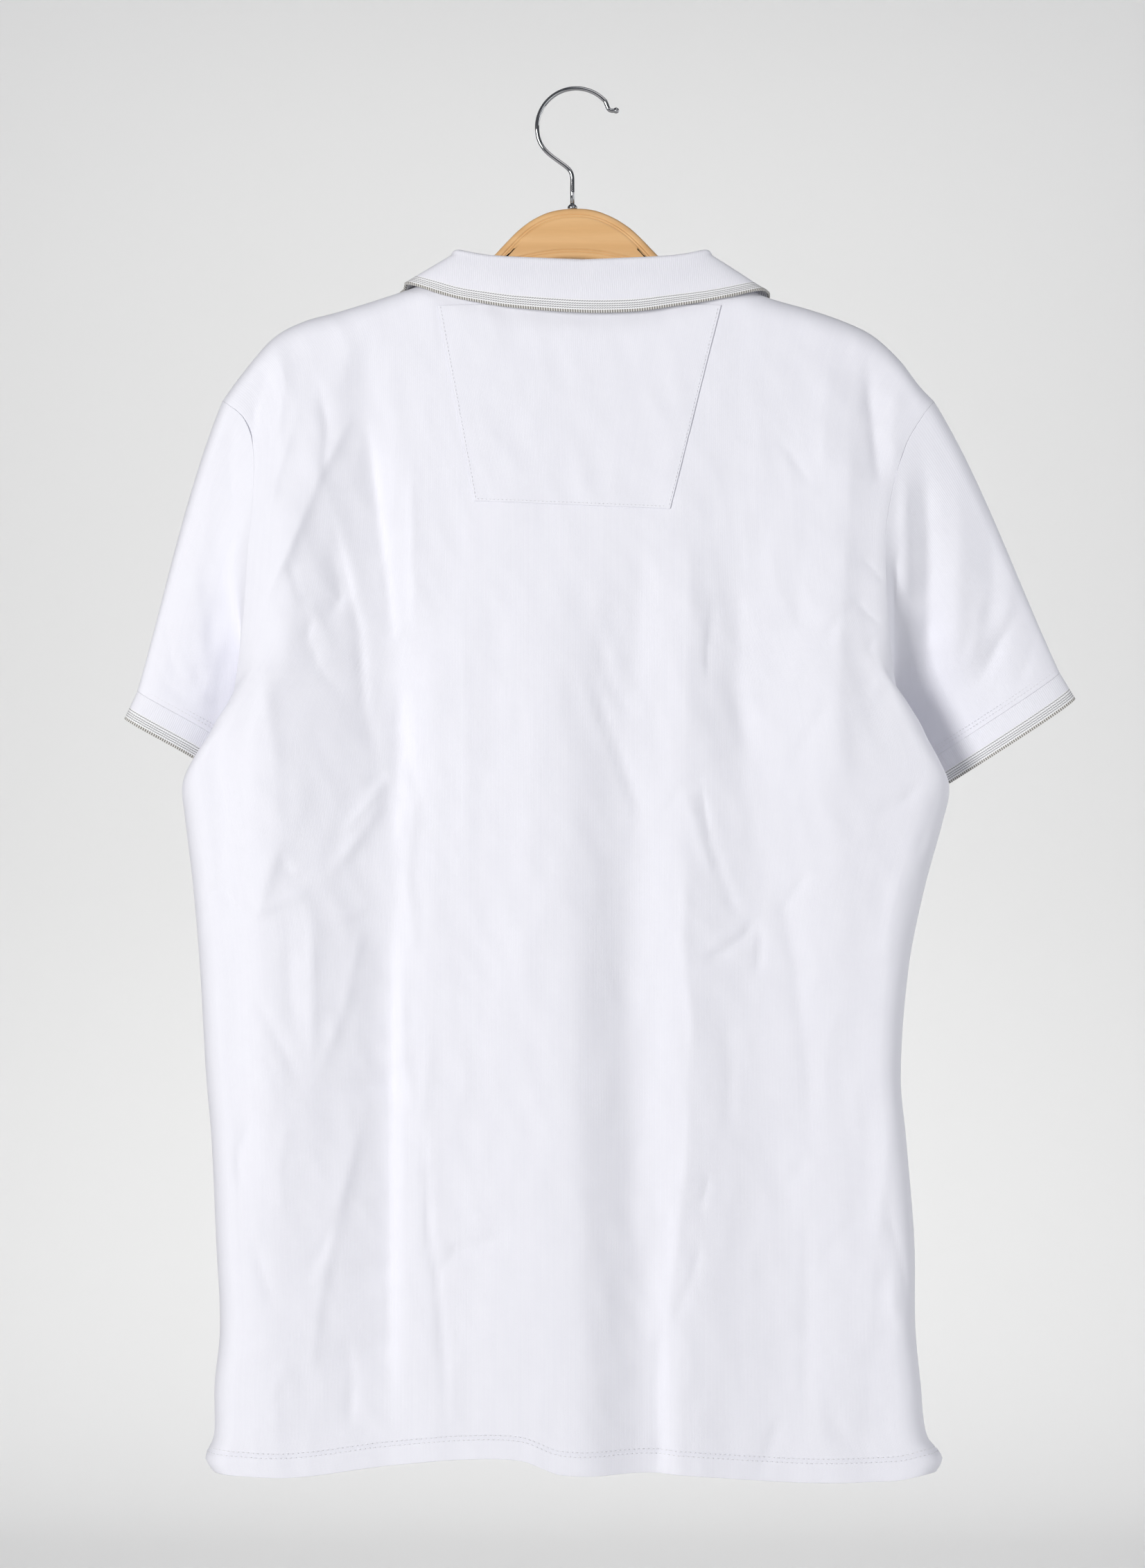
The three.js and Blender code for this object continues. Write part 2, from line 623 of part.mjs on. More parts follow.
for (const side of SIDES) {
  const loop = armholeLoop(side);
  const turns = loopTurns(loop);
  const shape = sleeveShape(side);
  const points = [];
  for (let r = 0; r <= SLEEVE_ROWS; r += 1) {
    const t = r / SLEEVE_ROWS;
    points.push(
      loop.map(({ point, away }, i) => {
        const end = shape.ring(turns[i], CUFF_LENGTH + SEAM);
        const pull = SLEEVE_PULL * end.distanceTo(point);
        const low = Math.sin(turns[i] / 2) ** 4;
        const first = shape.along
          .clone()
          .multiplyScalar(1 - low)
          .addScaledVector(away, 0.6)
          .addScaledVector(BEHIND, 2.8 * low)
          .normalize();
        const last = shape.along.clone().lerp(shape.axis, low).normalize();
        const curve = new THREE.CubicBezierCurve3(
          point,
          point.clone().addScaledVector(first, pull),
          end.clone().addScaledVector(last, -pull),
          end,
        );
        return curve.getPoint(t);
      }),
    );
  }
  const options = { ring: true, flip: side === 'left' };
  const normals = gridNormals(points, options);
  normals[0] = loop.map(({ normal, away }, i) => {
    const turnsDown = normals[0][i].dot(away) > 0;
    return turnsDown ? normal : normal.clone().add(normals[0][i]).normalize();
  });
  const cuffPoints = [CUFF_LENGTH, CUFF_LENGTH / 2, 0].map((up) => turns.map((turn) => shape.ring(turn, up)));
  const cuffNormals = gridNormals(cuffPoints, options);
  normals[SLEEVE_ROWS] = cuffNormals[0];
  add(`sleeve_${side}`, wall(points, normals, JERSEY, options), jersey());
  add(`cuff_${side}`, wall(cuffPoints, cuffNormals, RIB, options), rib());
}

// Collar. Its columns go round the neck from one front end, past the back, to the other.
// Each column climbs the stand, rolls over the fold and comes down the leaf to its edge.
const collarColumns = [];
for (let i = COLLAR_FRONT_COLUMNS; i > 0; i -= 1) {
  collarColumns.push({ side: 'left', way: (1 - COLLAR_GAP) * (i / COLLAR_FRONT_COLUMNS) });
}
for (let i = 0; i <= NECK_COLUMNS.back; i += 1) collarColumns.push({ back: (2 * i) / NECK_COLUMNS.back - 1 });
for (let i = 1; i <= COLLAR_FRONT_COLUMNS; i += 1) {
  collarColumns.push({ side: 'right', way: (1 - COLLAR_GAP) * (i / COLLAR_FRONT_COLUMNS) });
}

function collarColumn({ side, way, back }) {
  const standIn = JERSEY + STAND_INSET + RIB;
  const isBack = back !== undefined;
  const share = isBack ? Math.sin((Math.PI / 2) * back) : OUTWARD[side] * Math.cos((Math.PI / 2) * way);
  const round = Math.sqrt(Math.max(0, 1 - share * share));
  const panel = isBack ? 'back' : 'front';
  const facing = FACING[panel];
  const turn = isBack ? THREE.MathUtils.radToDeg(Math.asin(Math.abs(share))) : 90 + 90 * way;
  const outward = new THREE.Vector2(
    NECK_SQUARENESS * NECK[panel].depth * share,
    facing * NECK_HALF_WIDTH * round ** (2 - NECK_SQUARENESS),
  ).normalize();
  const standX = MIDDLE_X + NECK_HALF_WIDTH * share - standIn * outward.x;
  const standY = facing * neckDepth(panel, round) - standIn * outward.y;
  const neckline = NECK_POINT_Z - NECK[panel].drop * round ** NECK[panel].bend;
  const standZ = neckline - lerp(STAND_TUCK.side, STAND_TUCK.middle, round);
  const foldZ = along(FOLD_LINE, 'turn', 'z', turn);
  const edge = new THREE.Vector3();
  if (isBack) {
    edge.x = lerp(LEAF_EDGE_BACK[0].x, LEAF_EDGE_BACK.at(-1).x, (share + 1) / 2);
    edge.y = -LEAF_EDGE_BACK_DEPTH * round ** 0.5;
    edge.z = along(LEAF_EDGE_BACK, 'x', 'z', edge.x);
  } else {
    const end = way / (1 - COLLAR_GAP);
    edge.x = LEAF_MIDDLE_X + OUTWARD[side] * along(LEAF_EDGE_FRONT, 'way', 'out', end);
    edge.y = along(LEAF_EDGE_FRONT, 'way', 'y', end);
    edge.z = along(LEAF_EDGE_FRONT, 'way', 'z', end);
  }
  const place = (out, z) => new THREE.Vector3(standX + outward.x * out, standY + outward.y * out, z);
  const foot = place(0, standZ);
  const rollStart = place(0, foldZ - FOLD_RADIUS);
  const crown = place(FOLD_RADIUS, foldZ);
  const rollEnd = place(2 * FOLD_RADIUS, foldZ - FOLD_RADIUS);
  const quarter = FOLD_RADIUS * (1 - Math.SQRT1_2);
  const points = [
    foot,
    foot.clone().lerp(rollStart, 0.5),
    rollStart,
    place(quarter, foldZ - quarter),
    crown,
    place(2 * FOLD_RADIUS - quarter, foldZ - quarter),
    rollEnd,
  ];
  for (let i = 1; i <= LEAF_ROWS; i += 1) {
    const bulge = LEAF_BULGE * Math.sin((Math.PI * i) / LEAF_ROWS) * (isBack ? 0.3 : 1);
    const point = rollEnd.clone().lerp(edge, i / LEAF_ROWS);
    point.y += facing * bulge * round ** 0.5;
    if (point.z < topZ(panel, point.x)) {
      const clear = panelDepth(panel, point.x, point.z, BODY_HALF_WIDTH) + LEAF_CLEAR[panel];
      point.y = facing * Math.max(facing * point.y, clear);
    }
    points.push(point);
  }
  return points;
}

const collarPoints = collarColumns.map(collarColumn);
const collarRows = collarPoints[0].map((_, r) => collarPoints.map((column) => column[r]));
const collarNormals = gridNormals(collarRows, { flip: true });
add('collar', wall(collarRows, collarNormals, RIB, { flip: true }), rib());

// Buttons, each a turned disc with four holes.
function solidFrom(geometry, matrix = new THREE.Matrix4()) {
  const moved = geometry.clone().applyMatrix4(matrix);
  const merged = new Map();
  const vertices = [];
  const position = moved.attributes.position;
  const index = Array.from({ length: position.count }, (_, i) => {
    const p = [position.getX(i), position.getY(i), position.getZ(i)].map((n) => Math.round(n * 1e4) / 1e4);
    const key = p.join();
    if (!merged.has(key)) {
      merged.set(key, vertices.length / 3);
      vertices.push(...p);
    }
    return merged.get(key);
  });
  const order = moved.index ? Array.from(moved.index.array, (i) => index[i]) : index;
  const triangles = [];
  for (let i = 0; i < order.length; i += 3) {
    const [a, b, c] = order.slice(i, i + 3);
    if (a !== b && b !== c && a !== c) triangles.push(a, b, c);
  }
  return new wasm.Manifold(
    new wasm.Mesh({
      numProp: 3,
      vertProperties: new Float32Array(vertices),
      triVerts: new Uint32Array(triangles),
    }),
  );
}

function geometryFrom(solid) {
  const mesh = solid.getMesh();
  const geometry = new THREE.BufferGeometry();
  geometry.setAttribute('position', new THREE.BufferAttribute(new Float32Array(mesh.vertProperties), 3));
  geometry.setIndex(Array.from(mesh.triVerts));
  geometry.computeVertexNormals();
  return geometry;
}

function buttonGeometry() {
  const { radius, wall: high, rim, dish, holeRadius, holeOffset } = BUTTON;
  const profile = [
    [0, 0],
    [radius - 0.7, 0],
    [radius, 0.7],
    [radius, high - 0.6],
    [radius - 0.6, high],
    [radius - rim, high],
    [radius - rim - 0.5, high - dish],
    [0, high - dish],
  ].map(([x, y]) => new THREE.Vector2(x, y));
  let solid = solidFrom(new THREE.LatheGeometry(profile, 16));
  for (let i = 0; i < 4; i += 1) {
    const turn = Math.PI / 4 + (Math.PI / 2) * i;
    const place = new THREE.Matrix4().makeTranslation(
      holeOffset * Math.SQRT2 * Math.cos(turn),
      high / 2,
      holeOffset * Math.SQRT2 * Math.sin(turn),
    );
    solid = solid.subtract(solidFrom(new THREE.CylinderGeometry(holeRadius, holeRadius, 2 * high, 6), place));
  }
  return geometryFrom(solid);
}

BUTTON_Z.forEach((z, i) => {
  const hem = along(HEM_LINE, 'x', 'front', MIDDLE_X);
  const v = (z - hem) / (topZ('front', MIDDLE_X) - hem);
  const normal = panelNormal('front', { share: 0 }, v);
  const seat = panelPoint('front', { share: 0 }, v).addScaledVector(normal, placketOut.placket_top + 2 * SEAM);
  const button = add(`button_${i + 1}`, buttonGeometry(), material(0xf2f1ec, 0.25));
  button.position.copy(seat);
  button.quaternion.setFromUnitVectors(new THREE.Vector3(0, 1, 0), normal);
});

// Hanger, one flat shaped board. Its outline is drawn in the plane of the shoulders.
function hangerOutline() {
  const shape = new THREE.Shape();
  const drop = JERSEY + WOOD_CLEARANCE;
  const shoulderZ = (x) => along(SHOULDER_LINE, 'x', 'z', x);
  const topOf = (x) => shoulderZ(x) - drop * Math.hypot(1, shoulderZ(x + 1) - shoulderZ(x));
  const arm = (from, to, count, z) =>
    Array.from({ length: count + 1 }, (_, i) => {
      const x = lerp(from, to, i / count);
      return new THREE.Vector2(x, z(x));
    });
  const tipRound = 22;
  const hump = WOOD_HUMP.map(({ x, z }) => new THREE.Vector2(x, z));
  const leftTop = arm(WOOD_LEFT + tipRound, -98, 8, topOf);
  const rightTop = arm(106, WOOD_RIGHT - tipRound, 8, topOf);
  const leftLow = topOf(WOOD_LEFT + tipRound) - WOOD_HEIGHT;
  const rightLow = topOf(WOOD_RIGHT - tipRound) - WOOD_HEIGHT;
  shape.moveTo(leftTop[0].x, leftTop[0].y);
  shape.splineThru([...leftTop.slice(1), ...hump, ...rightTop]);
  const rightSide = topOf(WOOD_RIGHT - 9);
  shape.bezierCurveTo(WOOD_RIGHT, rightSide, WOOD_RIGHT + 2, rightLow - 3, WOOD_RIGHT - tipRound, rightLow);
  shape.bezierCurveTo(110, -158, 60, WOOD_ARCH_Z, 0, WOOD_ARCH_Z);
  shape.bezierCurveTo(-60, WOOD_ARCH_Z, -110, -158, WOOD_LEFT + tipRound, leftLow);
  const leftSide = topOf(WOOD_LEFT + 9);
  shape.bezierCurveTo(WOOD_LEFT - 2, leftLow - 3, WOOD_LEFT, leftSide, leftTop[0].x, leftTop[0].y);
  return shape;
}

const boardGeometry = new THREE.ExtrudeGeometry(hangerOutline(), {
  depth: WOOD_THICKNESS - 2 * WOOD_EDGE,
  steps: 1,
  curveSegments: 2,
  bevelEnabled: true,
  bevelThickness: WOOD_EDGE,
  bevelSize: WOOD_EDGE,
  bevelOffset: -WOOD_EDGE,
  bevelSegments: 3,
});
const board = add('hanger', boardGeometry, material(0xeec891, 0.5));
board.rotation.x = Math.PI / 2;
board.position.y = WOOD_THICKNESS / 2 - WOOD_EDGE;

// Hook: bent wire with a ball on its free end, and the ferrule at its foot.
function hookCurve() {
  const centreX = 1.5;
  const centreZ = WIRE_RADIUS - HOOK_BEND_RADIUS;
  const path = new THREE.Path();
  path.moveTo(27, -13);
  path.bezierCurveTo(22, -13.6, 22.6, -12, centreX + HOOK_BEND_RADIUS * Math.cos(radians(42)),
    centreZ + HOOK_BEND_RADIUS * Math.sin(radians(42)));
  path.absarc(centreX, centreZ, HOOK_BEND_RADIUS, radians(42), radians(188), false);
  path.bezierCurveTo(-22.6, -37, -16, -41.5, -10.5, -45.5);
  path.bezierCurveTo(-4, -50.2, HOOK_STEM_X, -51.5, HOOK_STEM_X, -58);
  path.lineTo(HOOK_STEM_X, HOOK_FOOT_Z);
  const line = path.getSpacedPoints(60).map((p) => new THREE.Vector3(p.x, 0, p.y));
  return new THREE.CatmullRomCurve3(line);
}

function circleShape(radius, corners) {
  const shape = new THREE.Shape();
  for (let i = 0; i < corners; i += 1) {
    const turn = (2 * Math.PI * i) / corners;
    if (i === 0) shape.moveTo(radius, 0);
    else shape.lineTo(radius * Math.cos(turn), radius * Math.sin(turn));
  }
  shape.closePath();
  return shape;
}

const wire = new THREE.ExtrudeGeometry(circleShape(WIRE_RADIUS, 8), {
  steps: 46,
  bevelEnabled: false,
  extrudePath: hookCurve(),
});
const ball = new THREE.SphereGeometry(HOOK_TIP_RADIUS, 12, 8);
const tipPlace = new THREE.Matrix4().makeTranslation(27.4, 0, -13);
const hook = solidFrom(wire).add(solidFrom(ball, tipPlace));
add('hook', geometryFrom(hook), material(0xc8ccd0, 0.12, 1));

const ferruleFoot = -77 + SEAM;
const ferruleProfile = [
  [0, ferruleFoot],
  [FERRULE.radius, ferruleFoot],
  [FERRULE.radius, ferruleFoot + FERRULE.height * 0.5],
  [FERRULE.radius * 0.7, ferruleFoot + FERRULE.height],
  [0, ferruleFoot + FERRULE.height],
].map(([x, y]) => new THREE.Vector2(x, y));
const ferrule = add('ferrule', new THREE.LatheGeometry(ferruleProfile, 20), material(0xc8ccd0, 0.15, 1));
ferrule.rotation.x = Math.PI / 2;
ferrule.position.x = HOOK_STEM_X;

export default group;
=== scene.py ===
import math

import bmesh
import bpy
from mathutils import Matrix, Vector, noise


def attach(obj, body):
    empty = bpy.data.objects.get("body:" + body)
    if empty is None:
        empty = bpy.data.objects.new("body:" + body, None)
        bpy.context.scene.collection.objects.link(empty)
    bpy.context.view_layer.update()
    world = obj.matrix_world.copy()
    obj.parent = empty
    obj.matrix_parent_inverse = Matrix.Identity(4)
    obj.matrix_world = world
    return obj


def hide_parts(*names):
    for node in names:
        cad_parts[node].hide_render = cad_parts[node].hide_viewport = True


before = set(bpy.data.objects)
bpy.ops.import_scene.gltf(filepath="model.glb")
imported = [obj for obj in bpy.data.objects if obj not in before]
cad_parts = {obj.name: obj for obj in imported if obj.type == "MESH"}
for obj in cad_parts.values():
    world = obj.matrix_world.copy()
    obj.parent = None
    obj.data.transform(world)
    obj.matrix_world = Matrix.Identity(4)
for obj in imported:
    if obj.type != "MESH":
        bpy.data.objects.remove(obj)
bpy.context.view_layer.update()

# Camera
# The camera stands square to the garment's back, level with its middle.
# The view is as tall as the photographed field at the garment's distance.
FIELD_CENTRE = (-0.0009, -0.4502)
FIELD_HEIGHT = 1.018
CAMERA_DISTANCE = 2.4

camera = bpy.data.objects.new("camera", bpy.data.cameras.new("camera"))
bpy.context.scene.collection.objects.link(camera)
camera.location = (FIELD_CENTRE[0], -CAMERA_DISTANCE, FIELD_CENTRE[1])
camera.rotation_euler = (math.pi / 2, 0, 0)
camera.data.sensor_width = 36
camera.data.lens = camera.data.sensor_width * CAMERA_DISTANCE / FIELD_HEIGHT
bpy.context.scene.camera = camera

# Back panel
# The back is cut flat from fine white knit and hangs from the shoulders in long soft folds.
# Its sides are rounded over to the front's side seams. All sizes in the tables are millimetres.
MM = 0.001
JERSEY = 1.4
SEAM = 0.3
MIDDLE_X = 5
NECK_HALF_WIDTH = 82
NECK_POINT_Z = -119
NECK = {"back": (20, 14, 1.6), "front": (85, 14, 2)}  # drop, depth, bend
NECK_SQUARENESS = 0.35
HEM_Z = -895
UNDERARM_Z = -432
SHOULDER_POINT_Z = -202
SIDE_ROUND = 16
SHOULDER_ROUND = 16
DOME = 5
BODY_HALF_WIDTH = 235
OUTWARD = {"left": -1, "right": 1}
FACING = {"back": -1, "front": 1}

# z, left side's x, right side's x
OUTLINE = [
    (-896, -233.5, 235), (-887, -239, 239), (-873, -233.5, 229), (-840, -233, 225),
    (-803, -229.5, 221.5), (-747, -232, 220.8), (-681, -235, 215.5), (-640, -238.5, 212),
    (-572, -242.5, 217), (-522, -247, 227.5), (-480, -252.5, 240), (-464, -254, 243.5),
    (-452, -248, 238), (-437, -237, 229), (-415, -227, 219.5), (-385, -219, 208),
    (-339, -213, 202.5), (-296, -210, 200.5), (-265, -207, 204.5), (-232, -207, 214),
    (-213, -214, 225), (-202, -228, 233.6),
]
# z, how far round the side the back's edge lies in degrees, the same for the front
EDGE_TURN = [
    (-896, 0, 0), (-600, 0, 0), (-520, -25, 25), (-455, -60, 60), (-432, -64, 64),
    (-422, -42, 74), (-408, -12, 80), (-385, 26, 86), (-339, 56, 89), (-296, 68, 89),
    (-232, 72, 84), (-202, 72, 72),
]
# z, depth of the back, depth of the front
DEPTHS = [
    (-896, 21, 18), (-760, 23, 17), (-600, 23, 15), (-462, 21, 13), (-300, 19, 13),
    (-220, 17, 14), (-150, 15, 15), (-119, 15, 15),
]
# x, z of the shoulder seam
SHOULDER_LINE = [
    (-228, -202), (-215, -184), (-195, -161), (-176, -150.5), (-153, -144), (-121, -134),
    (-77, -119), (-50, -110), (60, -108), (87, -119), (127, -135), (153, -142.5),
    (176, -150.5), (194, -159.5), (211, -175), (224, -192), (233.6, -202),
]
# x, z of the back's hem, z of the front's hem
HEM_LINE = [
    (-240, -895, -895), (-228, -895, -895), (-180, -896.4, -892), (-120, -889.7, -890),
    (-73, -885.4, -888), (-34, -885.8, -888), (-8, -894.6, -890), (52, -895, -892),
    (139, -900.7, -895), (205, -899, -896), (226, -895, -895), (240, -895, -895),
]
# Each row is one height. Across it the back rises and falls between folds: x and height out of each
# fold's top or foot, from the left side to the right.
BACK_RELIEF = [
    (-930, (-204, 1), (-120, -7), (-84, -5), (4, -1.5), (52, -13), (72, -8), (120, -11), (184, -4)),
    (-840, (-204, 1.5), (-120, -8), (-86, -6), (2, -1.5),
     (47, -13.5), (70, -7.5), (118, -11), (186, -4)),
    (-760, (-204, 2), (-120, -9), (-88, -6.5), (0, -1),
     (44, -13.5), (74, -7.5), (119, -11), (186, -4)),
    (-680, (-200, 3.5), (-120, -9), (-88, -6.5), (-2, -1),
     (42, -13.5), (76, -7), (118, -10.5), (186, -3.5)),
    (-600, (-196, 5.5), (-118, -9), (-88, -6.5), (-4, -1),
     (40, -13.5), (76, -7), (117, -10), (182, -2.5)),
    (-520, (-200, 8.5), (-116, -9.5), (-86, -6.5),
     (-6, -1.5), (38, -12.5), (74, -6.5), (116, -9.5), (178, -1.5)),
    (-450, (-203, 10), (-114, -10.5), (-86, -7), (-8, -2.5),
     (36, -11), (74, -6.5), (116, -9), (174, -0.5)),
    (-380, (-206, 10.5), (-114, -10.5), (-88, -6.5),
     (-16, -2.5), (36, -8), (74, -5), (112, -7), (172, 0.5)),
    (-300, (-192, 9), (-124, -7), (-98, -4), (-30, -1.5),
     (40, -3.5), (66, -2), (96, -3.5), (166, 2)),
    (-210, (-164, 3.5), (-132, -3), (-112, -1), (-40, 0), (40, -0.5), (70, 0), (96, 0), (168, 2)),
    (-150, (-140, 0), (-130, 0), (-122, 0), (-40, 0), (40, 0), (70, 0), (100, 0), (160, 0)),
]
RELIEF_SIDES = (-232, 226)
# upper x, upper z, lower x, lower z, width to the left, width to the right, height
FRONT_FOLDS = [
    (-120, -330, -132, -940, 58, 60, 9), (-50, -460, -42, -930, 34, 34, -4),
    (96, -360, 110, -940, 62, 54, 10),
]
FOLD_FADE = 110
FOLD_SIDE_FADE = 40
